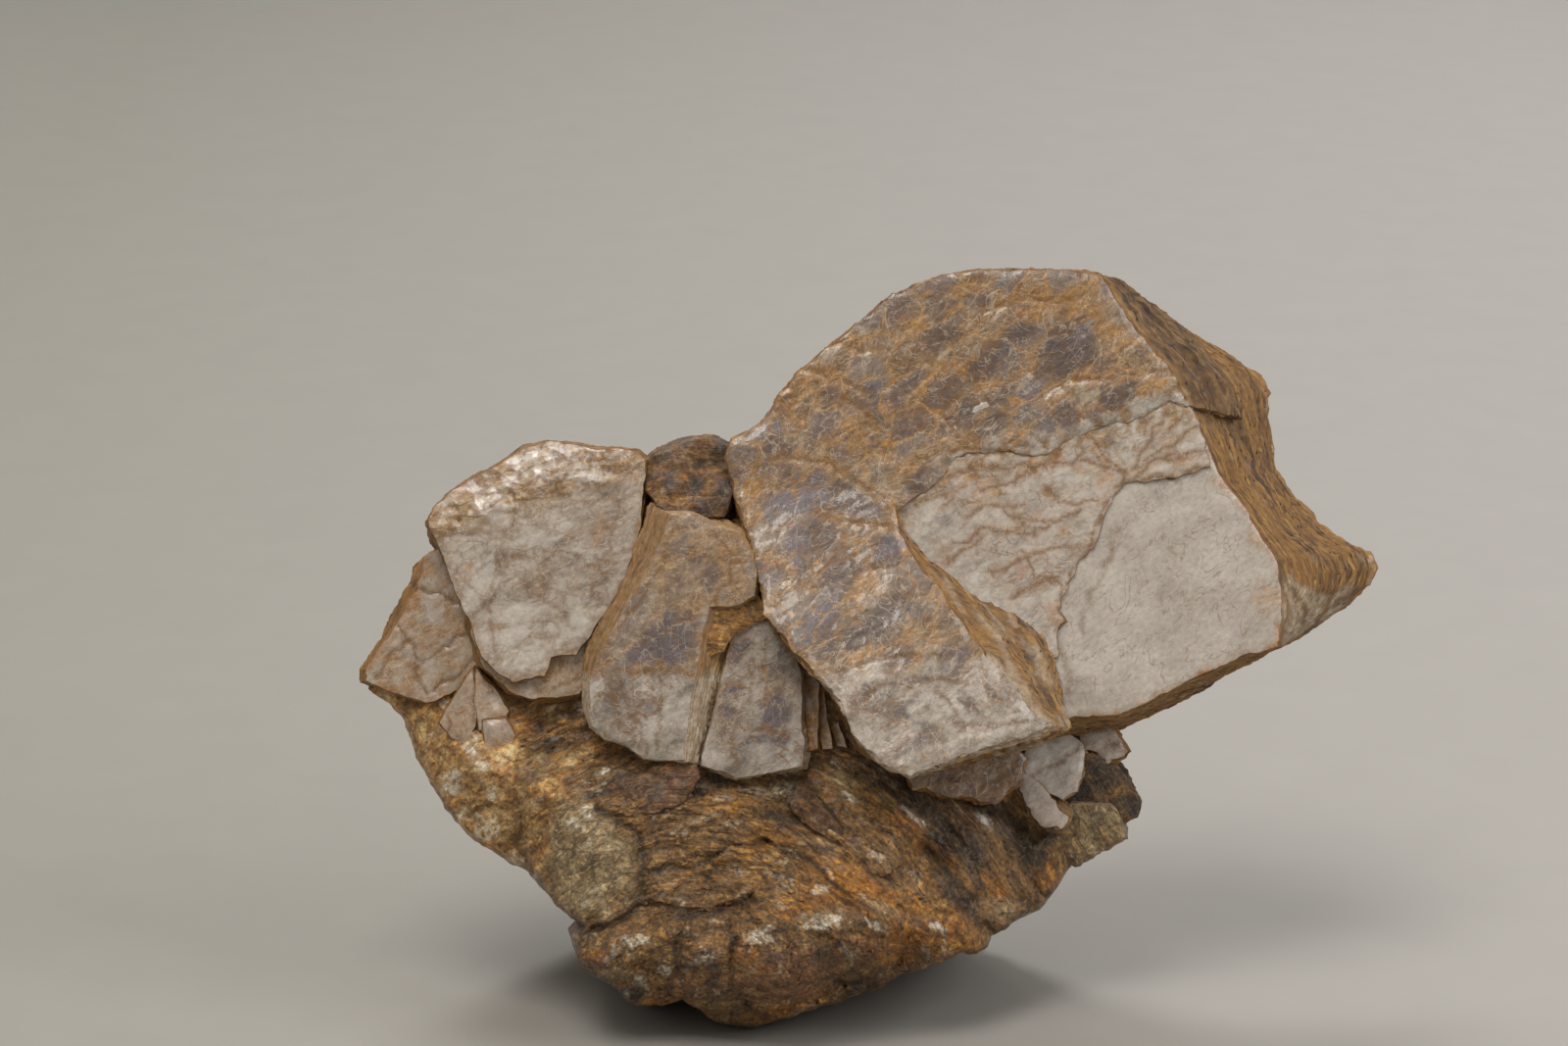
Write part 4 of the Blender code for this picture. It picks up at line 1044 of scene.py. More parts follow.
# Places on the left book's rolled top where the shiny sheets are lifted toward white as painted highlights.
LEFT_PAINTED_GLINTS = [
    (-34, 57.6, 3.4, 1.2, 12), (-37.6, 54.4, 3, 0.9, 30), (-41.6, 53.6, 1.4, 0.7, 40),
    (-36, 51.8, 2, 0.7, 15), (-40, 51.4, 1.4, 0.5, 20),
]


def left_paint(x, h):
    over = soften(left_past(x, h), -1.5, 1.0)
    _, rises = terraces(rough(x / 3.6, h / 2.2, 51, 4), 5, 0.3)
    arcs = veins(x, h, [SHOULDER, [(-40, 38), (-36, 35.5), (-33, 35)],
                        [(-31.6, 38), (-29, 38.6), (-27.6, 40)],
                        [(-27.6, 45), (-25.4, 50), (-24.6, 55)],
                        [(-34.8, 45.5), (-32, 44), (-29, 41)], [(-37.6, 47.6), (-31, 49), (-25, 47.6)],
                        [(-41, 47), (-38, 43), (-37, 38)]], 0.2, 53)
    rust = np.maximum((0.18 + 0.5 * over) * rises, 0.1 * arcs)
    rust = np.maximum(rust, 0.5 * patches(x, h, [(-26.6, 51, 2, 1, 70), (-37, 41, 2, 1, 60), (-24, 57, 1.6),
                                                 (-40, 47, 1.8, 0.8, 60)]))
    smoke = patches(x, h, LEFT_SMOKE)
    white = patches(x, h, LEFT_WHITE)
    pale = (1 - over) * patches(x, h, LEFT_PALE, 0.8)
    # The foil stain: lower roughness and a colour lifted toward white, a painted highlight, in patches broken
    # by noise.
    foil = patches(x, h, LEFT_PAINTED_GLINTS) * (0.05 + 0.4 * soften(rough(x / 1.4, h / 1.0, 54, 3), 0.05, 0.25))
    return {"rust": rust, "smoke": np.maximum(0.8 * smoke, 0.8 * over), "tan": 0.3 + 0.7 * over,
            "white": np.maximum(0.5 * white, 0.6 * pale), "foil": foil,
            "net": np.maximum(over, 0.35), "line": 0.55 * arcs}

# %% Loft the left book
left_corners = [
    (-35.4, 35.6), (-32.2, 36.2), (-31.6, 38.2), (-29, 38.4), (-27.6, 40), (-26, 42.8),
    (-24.4, 45.6, -23.6, 45.2), (-23.1, 49, -22.2, 48.7), (-22.4, 52.5, -21.6, 52.4), (-22.1, 56, -21.5, 56),
    (-22, 58, -21.7, 58), (-22.8, 58.7), (-24.6, 59.1), (-27.2, 59.2), (-29.4, 59.7), (-32, 59.8),
    (-34.6, 59.2), (-37.6, 57.2),
    (-39.6, 56.2), (-41.6, 54.9), (-43.1, 53.6, -43.6, 53.2), (-43.9, 52, -44.4, 51.6),
    (-43.3, 50, -44.2, 50.2), (-42.5, 48.2, -43, 48.4), (-41.6, 45.9), (-40.5, 43.4),
    (-39.6, 41.2), (-38.6, 38.2), (-37, 36.7),
]
book("left_book", left_corners, left_face, 9.5, 34, pearly, laminated, spacing=0.25, seed=14,
     paint=left_paint)

# %% Leaves under the left book


def tilted(at, out, right=0.0, up=0.0, waves=0.12, seed=60):
    """A cleavage face: its height out at one point, its tilt, and its small waves in mm."""
    def face(x, h):
        steps, _ = terraces(rough(x / 5, h / 5, seed, 4), 4, 0.1)
        small = rough(x / 3, h / 3, seed + 1, 3)
        return out + right * (x - at[0]) + up * (h - at[1]) + waves * (steps + small)
    return face


def stained(lines=(), seed=70, **amounts):
    """Stains of set strength, broken up by noise, with dark lines over them."""
    def paint(x, h):
        cloud = np.clip(0.65 + 0.7 * rough(x / 2.5, h / 2.5, seed, 4), 0, 1)
        made = {name: amount * cloud for name, amount in amounts.items()}
        made["line"] = 0.85 * veins(x, h, lines, 0.25, seed + 1)
        return made
    return paint


under_corners = [
    (-38.8, 37.6), (-35.9, 34.8), (-33.6, 33.9), (-31, 33.9), (-28.8, 34.5), (-27.8, 36),
    (-26.6, 38.4), (-24.8, 42.4), (-28, 46), (-36, 46), (-40, 42),
]
under_lines = [[(-36, 35.4), (-32, 35), (-29, 35.8), (-27.6, 38)]]
book("left_under_leaves", under_corners, tilted((-33, 47), 4.7, 0.04, -0.02), 4.0, 20, pearly, laminated,
     seed=15, skirt=0.6, paint=stained(under_lines, rust=0.4, tan=1.2))

# %% [markdown]
# ## The wing and the petals
#
# Left of the silvery book a darker book juts out like a wing, scored by cracks, and three small
# leaves hang under it like petals. They could be cut from one sheet, but each is tilted its own
# way, so each is a small book with its own flat face.

# %% The wing
wing_corners = [
    (-50.6, 35.6, -51.5, 35.4), (-47.2, 34.3), (-44.4, 33.4), (-41.6, 34.4), (-38.6, 37),
    (-38, 42), (-40, 48), (-43, 49.2), (-44.6, 48.2), (-45, 46.2, -45.9, 47.2),
    (-45.2, 45.2, -46.3, 45.4), (-46.6, 42.8, -47.7, 42.8), (-48.6, 39.6, -49.6, 39.4),
    (-50.6, 36.8, -51.6, 36.4),
]
wing_lines = [[(-47.6, 42.4), (-46.4, 40), (-45, 37.3)], [(-40, 40.8), (-42.6, 39), (-45.8, 36.8)],
              [(-39.3, 38), (-43.8, 34.3)],
              [(-46.5, 39.5), (-48.6, 37.6), (-49.5, 35.5)], [(-46, 45.4), (-39, 42.6)],
              [(-45.8, 36.8), (-44.6, 34)]]
wing_plane = tilted((-46, 40), 1.7, 0.1, -0.03, 0.08)
book("wing_book", wing_corners, lambda x, h: wing_plane(x, h) - 0.15 * veins(x, h, wing_lines, 0.25, 71),
     6.0, 24, pearly, laminated, spacing=0.25, seed=16, rim=1.0,
     paint=stained(wing_lines, rust=0.5, tan=1.0))

# %% Three petals
petals = {
    "petal_leaf_1": ([(-42.9, 31.4), (-41.6, 29.8), (-40, 29.2), (-39.4, 31.6), (-39.2, 35), (-39.5, 37),
                      (-41.2, 34.6)],
                     tilted((-41, 33), 3.6, 0.45, 0.05)),
    "petal_leaf_2": ([(-38.9, 30.6), (-36.9, 30.8), (-36, 32.6), (-37.4, 34.8), (-39.1, 36.8), (-39.3, 33.6)],
                     tilted((-38, 33), 4.3, -0.25, 0.05)),
    "petal_leaf_3": ([(-38.2, 28.4), (-35.8, 28), (-35.2, 30.2), (-36.2, 31.8), (-38.4, 31.6)],
                     tilted((-37, 30), 4.6, -0.2, 0.2)),
}
# Each petal carries a little of the foil stain: shine and a faint painted highlight.
for name, (corners, face) in petals.items():
    book(name, corners, face, 5.0, 14, pearly, laminated, spacing=0.3, seed=len(name + str(corners)),
         skirt=1.2, roll=0.4, rim=0.3, worn=1.0, pale=0.4,
         paint=stained([corners[3:5]], rust=0.8, tan=1.1, white=0.2, foil=0.12))

# %% [markdown]
# ## The middle and the small book
#
# A narrow golden book stands between the silvery one and the great one, with bright rust along
# its sides, a dark block as its crown, and a small lilac book at its foot. Each is lofted from
# its own outline, with its side spreading out backward, so that the steps of its edge show from
# the front.

# %% Lines of the middle book
MIDDLE_LINES = [
    [(-25.9, 36.4), (-24.4, 32), (-22.5, 28.4)], [(-20.3, 37.5), (-20.5, 29.1)],
    [(-24.6, 41), (-21, 46), (-19, 51)],
    [(-15.6, 42), (-13, 47), (-15, 51)], [(-26.2, 36.6), (-22, 36.9), (-17, 36.6)],
    [(-25.2, 36.5), (-21.6, 28.4)],
    [(-24.6, 36.5), (-23, 32)], [(-26, 35), (-23.6, 29.4)],
]

# %% Stains of the middle book
MIDDLE_RUST = [
    (-13, 46, 1.6), (-14, 49, 1.8, 1, -50), (-18.6, 50.6, 2, 1, 20), (-16.6, 50, 2.6, 1.4, 60),
    (-19.6, 47.6, 2.6, 1.4, 60), (-21, 44.6, 1.8, 0.8, 60), (-16.6, 43.6, 1.4, 0.7, 60),
    (-25.4, 38, 1.4, 0.8, 70),
]
MIDDLE_WINDOWS = [
    (-19.6, 39.6, 3.8, 2.9, 60), (-15.4, 46.4, 1.6, 1.2, 65), (-22.6, 38.6, 1.6, 1, 60),
    (-17, 48.4, 1.4, 1, 0),
]
MIDDLE_WHITE = [
    (-18.5, 49.4, 2.4, 1.4, 60), (-22, 43, 3, 1.0, 60), (-14, 44.6, 1.2, 0.6, 60),
    (-24.6, 39.4, 1.6, 0.8, 70), (-16, 42, 2, 0.7, 70),
]


def middle_book_paint(x, h):
    border = np.clip(1 - within([(c[0], c[1]) for c in middle_book_corners], x, h) / 1.3, 0, 1)
    foot = soften(36.6 - h + 0.8 * rough(x / 2, h / 2, 81), -0.3, 0.6)
    rust = 0.8 * border * (0.5 + rough(x / 2, h / 2, 82)) + 0.9 * patches(x, h, MIDDLE_RUST)
    rust = np.maximum(rust, 0.3 * soften(h - 43 + 4 * rough(x / 3, h / 3, 86), -2, 3))
    window = patches(x, h, MIDDLE_WINDOWS)
    white = np.maximum(np.maximum(0.95 * foot, 0.25 * (1 - window)), 0.6 * patches(x, h, MIDDLE_WHITE))
    lines = 0.7 * veins(x, h, MIDDLE_LINES, 0.2, 84)
    return {"rust": np.maximum(rust * (1 - 0.6 * foot), 0.6 * veins(x, h, MIDDLE_LINES, 0.45, 84)),
            "line": lines, "white": white * (1 - 0.8 * window), "window": window, "lilac": 0.7 * window}

# %% Loft the middle book
middle_book_corners = [
    (-18, 27.8, -16.2, 27.1), (-17.6, 32, -15.1, 32), (-17, 36, -14.2, 36), (-16.2, 40, -13.3, 40),
    (-15.5, 43.2, -13, 42.6), (-12.6, 43.4, -12.2, 42.8), (-11, 44.4, -10.2, 44), (-10.8, 46, -10.2, 46),
    (-11.4, 48.6, -10.8, 48.6), (-12.6, 50.6, -12, 51), (-15.4, 51.9), (-17.2, 52.6),
    (-19.3, 52.4, -21.6, 53.6), (-20.4, 50, -22.7, 50.6), (-21.6, 47.2, -23.9, 47.6),
    (-23.4, 44.2, -25.3, 44.4), (-25.2, 41, -26.9, 41.2), (-26.6, 38.2, -28.2, 38.4),
    (-27.4, 36, -28.5, 36), (-27.6, 33, -28.1, 33), (-27.3, 31.2), (-26, 30), (-24, 29.4),
    (-22, 28.1), (-20, 27.9),
]
book("middle_book", middle_book_corners, tilted((-20, 40), 8.6, 0.06, 0.02), 8.0, 40, smoky, laminated,
     spacing=0.24, seed=19, profile=((0, 0), (0.28, 0.9), (1, 1)), pale=0.6, paint=middle_book_paint)

# %% The crown and the leaf in the joint
crown_corners = [
    (-14.2, 52.4), (-13.2, 54.8), (-13.4, 57.2), (-13.6, 59.2), (-15.4, 60), (-17, 60),
    (-19, 59.5), (-21, 58.5), (-21.9, 57.6), (-21.8, 55), (-20.8, 53.4), (-18, 51.6),
]
book("crown_block", crown_corners, tilted((-17, 56), 6.4, up=-0.38, waves=0.45, seed=63), 9.0, 30,
     mass_finish, laminated, spacing=0.34, seed=20, skirt=0.5,
     paint=stained(seed=71, dark=1.2, rust=1.6, calm=1.0))
joint_corners = [(-16, 45), (-11, 45), (-9.6, 42.2), (-11.4, 41.2), (-13, 40.4), (-14, 38.6), (-15.6, 38),
                 (-16.4, 41)]
joint_lines = [[(-15.4, 43.6), (-12.6, 42.6), (-10.4, 42.8)], [(-14.6, 43.4), (-14, 40.4)]]
book("joint_leaf", joint_corners, tilted((-13, 42), 8.2, -0.05, 0.05, 0.3, 62), 5.0, 14, mass_finish,
     laminated, spacing=0.26, seed=38, skirt=0.3, pale=0.5,
     paint=stained(joint_lines, seed=82, rust=1.3, gold=0.35, calm=2.0))

# %% The small lilac book
small_corners = [
    (-16.3, 27.2), (-12.8, 26.1), (-9.6, 26.5), (-6.1, 27.1), (-5.9, 30), (-6.2, 33),
    (-6.4, 36), (-7, 38.4), (-9, 41.4), (-11, 42.2), (-12.4, 41.8), (-13.5, 39.9), (-13.9, 38),
    (-14.5, 35), (-15.2, 32), (-16.1, 29),
]
SMALL_LINES = [[(-9.8, 39.4), (-11.5, 35.3), (-13, 30.6), (-13.4, 27)], [(-11.3, 35.3), (-8.8, 36.3)],
               [(-14.6, 31.2), (-7.2, 30.4)]]
SMALL_RUST = [(-15, 40, 2), (-12.5, 41, 1.5), (-10, 36.5, 1.0, 0.6, 60)]
SMALL_WINDOWS = [
    (-9, 33.3, 2.4, 1.8, 70), (-13.2, 35, 1.6, 0.8, 10), (-13.8, 32.4, 1.4, 1, 60), (-8.2, 30, 1.4, 1, 40),
    (-12.6, 38.8, 2, 1.3, 50), (-9.6, 37, 1.2, 0.8, 0), (-9.4, 31.6, 2.2, 1.4, 80),
    (-11.4, 29.6, 2, 0.7, 10),
]


def small_paint(x, h):
    glassy = patches(x, h, SMALL_WINDOWS)
    white = soften(28.8 - h + rough(x / 2, h / 2, 83), -0.5, 0.8)
    rust = np.maximum(0.8 * patches(x, h, SMALL_RUST), 0.6 * veins(x, h, SMALL_LINES, 0.4, 85))
    return {"rust": rust, "line": 0.6 * veins(x, h, SMALL_LINES, 0.2, 85),
            "white": np.maximum(0.95 * white, 0.85 * (1 - glassy)), "lilac": glassy, "window": 0.3 * glassy}


book("small_lilac_book", small_corners, tilted((-11, 34), 7.4, up=0.03), 7.0, 26, smoky, laminated,
     spacing=0.24, seed=21, skirt=0.9, pale=0.4, paint=small_paint)

# %% [markdown]
# ## Blades seen edge-on
#
# Between the small book and the great one a few sheets stand like a half-open fan. They share one
# apex, so a loop makes them from one triangle whose foot moves to the right.

# %% Edge-on blades between the small book and the great one
BLADES = 4
BLADE_APEX = (-6.0, 37.4)
BLADE_FOOT_X, BLADE_FOOT_H, BLADE_STEP = -5.6, 28.6, 1.5
for number in range(BLADES):
    foot = BLADE_FOOT_X + number * BLADE_STEP
    corners = [
        (foot, BLADE_FOOT_H + 0.2 * number), (foot + 1.0, BLADE_FOOT_H + 0.3),
        (BLADE_APEX[0] + 1.5 + number * 0.5, 35.4 - number * 0.4), BLADE_APEX,
    ]
    book(f"fan_blade_{number + 1}", corners, tilted((foot, 32), 5.6 - 0.5 * number, 0.5), 4.5, 14, pearly,
         laminated, spacing=0.3, tear=0.15, seed=30 + number,
         paint=stained([[(foot + 0.6, 28), (BLADE_APEX[0] + 1, 36)]], rust=1.0, tan=1.2, seed=72 + number))

# %% [markdown]
# ## The mass under the books
#
# The mass is one rough pillow. Its front and back are smooth surfaces through a few chosen
# heights. On them lie lumps and grooves that have places of their own, long ridges that arch over
# from left to right, and plates: thousands of small flat shards, each tilted its own way, as bent
# mica breaks. Where it would reach below the ground it is flattened, which is the broken base
# that it stands on.

# %% A smooth surface through chosen heights


def thin_plate(knots):
    """A smooth surface out(x, h) through the knots (x, h, out)."""
    points = np.array(knots, float)
    count = len(points)

    def radial(x, h):
        square = (np.subtract.outer(x, points[:, 0])) ** 2 + (np.subtract.outer(h, points[:, 1])) ** 2
        return square * np.log(square + 1e-9)

    system = np.zeros((count + 3, count + 3))
    system[:count, :count] = radial(points[:, 0], points[:, 1])
    system[:count, count:] = np.stack((np.ones(count), points[:, 0], points[:, 1]), -1)
    system[count:, :count] = system[:count, count:].T
    weights = np.linalg.solve(system, np.append(points[:, 2], (0, 0, 0)))
    bend, (level, rise_x, rise_h) = weights[:count], weights[count:]
    return lambda x, h: radial(x, h) @ bend + level + rise_x * x + rise_h * h


# %% The mass's outline and heights
MASS_OUTLINE = [
    (-50, 34.8), (-48, 33.5), (-46.8, 31.8), (-46, 30), (-45, 27.5), (-44, 25.5), (-42.8, 23),
    (-41.5, 21.3), (-40, 19.5), (-38, 18.2), (-36, 17.2), (-34, 16.2), (-32.5, 14.5), (-31, 12.8),
    (-29.5, 11.7), (-28.2, 11), (-29.6, 9.8), (-29, 8), (-28.4, 6.5), (-27, 5.5), (-25.3, 4.8),
    (-23.8, 3.2), (-22.5, 2.6), (-20, 2.7), (-18.3, 3.3), (-17, 2.3), (-15, 0.6), (-13, 0.1),
    (-11.5, 0.3), (-8.5, 0.9), (-6, 1.7), (-4, 2.4), (-2, 3), (0, 3.8), (2, 4.2), (4, 5.8), (6, 6.3),
    (8, 6.9), (10, 8), (11.6, 7.8), (12.6, 8.5), (13, 9.7), (14.5, 10.3), (16, 11.5), (18, 12.3),
    (19.5, 13.8), (20.5, 15.5), (22, 17.6), (23.6, 20), (24.6, 23), (25, 26), (24.6, 29), (23, 33),
    (17, 38), (9, 43), (2, 48), (-6, 52), (-16, 55), (-27, 54), (-36, 50), (-42, 44), (-47, 38),
]
FRONT_KNOTS = [
    (-40, 46, -1), (-30, 50, 0), (-30, 42, 3), (-16, 53, 2), (-22, 50, 3.4), (-20, 44, 4.4), (-8, 46, 4),
    (2, 44, 1), (-4, 38, 3.6), (0, 34, 4), (8, 36, 1), (-12, 51, 5), (-10.4, 43.4, 6.6), (-14.6, 38, 6.4),
    (-6.4, 35, 4.8), (-21.4, 51, 4.8), (-27.6, 38.6, 4.4), (-16.6, 30, 6), (-22, 54, 3.6),
    (-33, 31, 2.5), (-24, 28, 5), (-15, 25.5, 5), (-8, 25, 4.8), (0, 26, 4), (6, 25, 2.4), (12, 24, 1),
    (17, 21, 0), (18, 30, -2), (24, 27, -3), (22, 33, -3), (15, 39, 0),
    (-26, 23.6, 7.6), (-20, 24, 7.6), (-20, 19, 8), (-14, 21, 8.8), (-12, 17, 8.6), (-4, 20, 7),
    (-3, 16, 9), (3, 20, 7.4), (6, 17, 5), (10, 18, 4.6), (13, 14, 3.4), (16, 15, 1.4), (20, 15, -1.4),
    (-28, 9.4, 9), (-25, 10, 11.4), (-22, 12, 9.6), (-18, 11, 12.4), (-15, 13, 10), (-10, 11.6, 13.4),
    (-4, 12.4, 13.8), (0, 10, 12.4), (3, 12.4, 10.4), (7, 10, 9), (12, 9, 5),
    (-28, 7, 7.4), (-25, 6, 9.4), (-21, 6, 8.4), (-18, 7, 10.6), (-14, 4, 8.4), (-8, 6, 12), (-2, 6.6, 8.4),
    (4, 7.6, 7), (-22, 3, 5.6), (-13, 1, 3), (-5, 2.6, 4.4), (2, 4.6, 4),
    (-29, 22, 8), (-26, 18, 9.4), (-28, 14, 8), (-32, 24, 6.6), (-33, 18, 4), (-36, 26, 5.6),
    (-40, 28, 4), (-42, 25, 1.4), (-38, 21, 2), (-44, 29, 0.4), (-47.6, 34, -0.6),
]
BACK_KNOTS = [
    (-13, 0, -33), (-13, 12, -35), (-4, 8, -34), (8, 10, -30), (-24, 10, -32), (0, 20, -31),
    (14, 16, -22), (20, 18, -12), (-30, 22, -24), (-38, 26, -15), (-46, 33, -7), (-16, 30, -27),
    (0, 34, -20), (12, 30, -15), (24, 27, -11), (22, 33, -11), (15, 39, -11), (4, 46, -9),
    (-8, 48, -12), (-22, 48, -13), (-34, 42, -11), (-42, 40, -6), (-28, 5, -29), (-16, 55, -6),
]
front_swell, back_swell = thin_plate(FRONT_KNOTS), thin_plate(BACK_KNOTS)
print("the mass goes through", len(FRONT_KNOTS), "heights in front and", len(BACK_KNOTS), "behind")

# %% Lumps, grooves and sheets of the mass
SWELLING = [(-31.6, 17), (-30.6, 13.4), (-28.6, 11.8), (-25.6, 12.6), (-23.4, 14.6), (-22.6, 17.4),
            (-23.4, 19.6), (-25, 21.4), (-27, 22.6), (-29, 24), (-30.6, 23.4), (-31.6, 20.6)]
GOLDEN_FLANK = [(-51, 35), (-46, 28), (-41, 20), (-34, 15.6), (-34.8, 19), (-34.9, 24), (-34.3, 29),
                (-36, 32), (-42, 34)]
LUMPS = [  # x, h, half length, half width, degrees, mm high
    (-8, 6, 5.4, 3.6, 15, 1.2), (-12.7, 15.4, 3.4, 1.3, 12, 0.7), (-25.6, 8.4, 3.2, 2.0, -8, 0.8),
    (-20.6, 9.2, 2.6, 1.6, 20, 0.7), (-16.6, 8.4, 2.8, 1.7, 10, 0.7), (0, 13.5, 3.2, 1.7, -20, 0.7),
    (9, 11, 3.6, 1.7, -25, 0.6), (14.4, 12.5, 1.4, 1.1, 0, 0.7), (-8, 25, 1.9, 1.0, 10, 0.5),
    (-32, 24.4, 2.0, 1.6, 0, 0.7), (-4.6, 22, 3.4, 1.3, -38, 0.5), (-17, 20, 4.5, 1.1, 20, 0.5),
    (-14, 17.8, 4, 0.9, 16, 0.4), (3, 17, 4, 1.2, -35, 0.5), (-22, 6, 2.4, 1.4, 0, 0.6),
    (-14, 3.4, 3.4, 1.4, -10, 0.7), (-37, 20.6, 2.2, 1.4, -40, 0.5), (11, 20.6, 4, 1.1, -43, 0.5),
]
GROOVES = [
    ([(-28.8, 10.7), (-25.9, 11.4), (-21.8, 12.7), (-15.6, 13.2), (-11.9, 13.8), (-10.8, 14.5)], 0.5, 0.8),
    ([(-22.4, 14.4), (-22.2, 17.4), (-23.1, 19.8), (-25, 21.8), (-27, 23)], 0.45, 0.5),
    ([(-34.4, 29.4), (-34.9, 26.4), (-35, 24.1), (-35.4, 20), (-34.6, 16.6)], 0.4, 0.5),
    ([(4.8, 26), (11.8, 23.4), (17.5, 19.5)], 0.6, 0.8), ([(6.4, 18.6), (9.6, 14.6), (12.7, 9.9)], 0.7, 0.9),
    ([(-9.9, 19.8), (-16, 17.6), (-22, 16)], 0.3, 0.4), ([(-9.9, 19.8), (-4, 16.6), (2, 12.6)], 0.4, 0.6),
    ([(-2.6, 6), (0.6, 4.9), (4.6, 4.4)], 0.6, 0.8), ([(-12.8, 9.6), (-13.4, 5.4), (-11.6, 2.2)], 0.4, 0.6),
    ([(16.4, 20.6), (16.4, 17), (18.6, 14)], 0.6, 0.8), ([(-18.6, 10.4), (-18.8, 6.4), (-20.2, 3.6)], 0.4,
                                                         0.5),
]
# Places of painted highlights on the mass: bare sheets whose colour is lifted near white as glints.
PAINTED_GLINTS = [
    (-39.6, 29.6, 1.3, 0.8, 50), (-41.8, 25, 1.1, 0.8, 60), (-40.7, 21.9, 0.9), (-39.3, 28, 0.8),
    (-38.4, 27.1, 0.6), (-37.7, 24.1, 0.8), (-37.5, 21, 0.8),
    (-29.1, 21.4, 0.8), (-27.7, 22.6, 0.7), (-23.1, 9.9, 1.6, 0.7, 10), (-22.6, 5.7, 0.8), (-20, 6.8, 0.8),
    (-16, 8.1, 1.6, 0.6, 15), (-10.6, 10.3, 1.8, 0.8, 20), (-4.1, 12, 2.3, 0.9, 5), (-4.4, 15, 0.8, 0.5, 20),
    (7.4, 11.1, 1.0, 0.5, -30), (-21.1, 22.4, 0.5), (-3.2, 21, 1.2, 0.3, -35), (-26, 26.6, 0.8, 0.4, 20),
    (1.4, 11.4, 1, 0.5, -20),
    (-8, 24.8, 1.2, 0.5, 10), (-1.6, 24, 1, 0.5, -20), (12.6, 21.4, 0.9, 0.35, -43), (5, 22, 1.4, 0.35, -40),
]

# %% Streaks and shards


def arch(x, h, along, across):
    """Coordinates along and across the streaks, which curve round one point below the mass."""
    dx, dh = x - ARCH_CENTRE[0], h - ARCH_CENTRE[1]
    return np.arctan2(dx, dh) * ARCH_RADIUS / along, np.hypot(dx, dh) / across


def shards(u, v, seed, tilt=0.5):
    """Flat shards, one to each unit, tilted at random: (height, how near its border, its chance)."""
    best = np.full(np.shape(u), 9.0)
    second = best.copy()
    height, chance = np.zeros(np.shape(u)), np.zeros(np.shape(u))
    i, j = np.floor(u).astype(np.int64), np.floor(v).astype(np.int64)
    for di in (-1, 0, 1):
        for dj in (-1, 0, 1):
            a, b = i + di, j + dj
            du, dv = u - a - lattice(a, b, seed), v - b - lattice(a, b, seed + 1)
            far = np.hypot(du, dv)
            turn = lattice(a, b, seed + 2) * 2 * math.pi
            mine = tilt * (np.cos(turn) * du + np.sin(turn) * dv) + 0.5 * lattice(a, b, seed + 3)
            nearer = far < best
            second = np.where(nearer, best, np.minimum(second, far))
            height, chance = np.where(nearer, mine, height), np.where(nearer, lattice(a, b, seed + 4), chance)
            best = np.where(nearer, far, best)
    return height, second - best, chance

# %% Relief of the mass


def calm_share(x, h):
    """Where the streaks give way to lobes: the foot, and part of the right side."""
    foot = soften(13 + 0.04 * (x + 12) - h + 1.5 * rough(x / 4, h / 4, 84, 3), -1.0, 1.5)
    return np.clip(np.maximum(foot, 0.7 * patches(x, h, [(6, 13, 8, 5, -10), (-3, 24, 5, 2.4, -15)])), 0, 1)


def flank_share(x, h):
    """Where the mass's left flank is smooth and golden."""
    return soften(within(GOLDEN_FLANK, x, h) + 0.8 * rough(x / 3, h / 3, 87, 3), -1.0, 1.5)


def mass_relief(x, h):
    """(height of the relief, chance of each small shard, how deep in a groove)."""
    sway_x, sway_h = x + 0.9 * rough(x / 6, h / 6, 88, 3), h + 0.9 * rough(x / 6, h / 6, 89, 3)
    flank = flank_share(x, h)
    ridges = rough(*arch(sway_x, sway_h, 12.0, 3.0), 90, 4)
    creased = 1 - np.abs(rough(*arch(sway_x, sway_h, 7.0, 1.5), 91, 3))
    big, _, _ = shards(*arch(sway_x, sway_h, 4.2, 1.7), 92)
    small, _, chance = shards(*arch(sway_x, sway_h, 1.7, 0.75), 93)
    crumpled, _, foil = shards(sway_x / 2.3, sway_h / 2.3, 94, 0.7)
    fine = rough(*arch(x, h, 2.0, 0.4), 95, 3)
    matted = 0.5 * ridges + 0.24 * creased + 0.24 * big + 0.16 * small + 0.08 * fine
    smooth = 0.5 * rough(x / 5, h / 5, 96, 3) + 0.45 * crumpled
    lobes, _, _ = shards(sway_x / 4.5, sway_h / 2.8, 97, 0.9)
    calm = calm_share(x, h)
    lobed = 0.6 * rough(x / 4.5, h / 3.2, 98, 3) + 0.45 * lobes + 0.2 * crumpled + 0.1 * small
    matted = matted * (1 - calm) + lobed * calm
    height = matted * (1 - flank) + smooth * flank
    for cx, ch, along, across, turn, high in LUMPS:
        u, v = grain(sway_x - cx, sway_h - ch, turn, along, across)
        height = height + high * (1 - soften(np.hypot(u, v), 0.2, 1.2))
    inside = within(SWELLING, x, h) + 0.5 * rough(x / 1.5, h / 1.5, 86, 3)
    height = height + 0.6 * soften(inside, -0.6, 1.4) - 0.6 * soften(inside, -0.5, 2) * (matted - 0.4)
    depth = np.zeros(np.shape(x))
    for line, width, deep in GROOVES:
        near = beside(line, sway_x, sway_h, width)
        height = height - deep * near
        depth = np.maximum(depth, near)
    return height, np.where(flank > 0.5, foil, chance), depth


def mass_front(x, h):
    return front_swell(x, h) + mass_relief(x, h)[0]


def mass_back(x, h):
    return back_swell(x, h) + 2.0 * mass_relief(x + 60, h + 7)[0]

# %% Stains of the mass


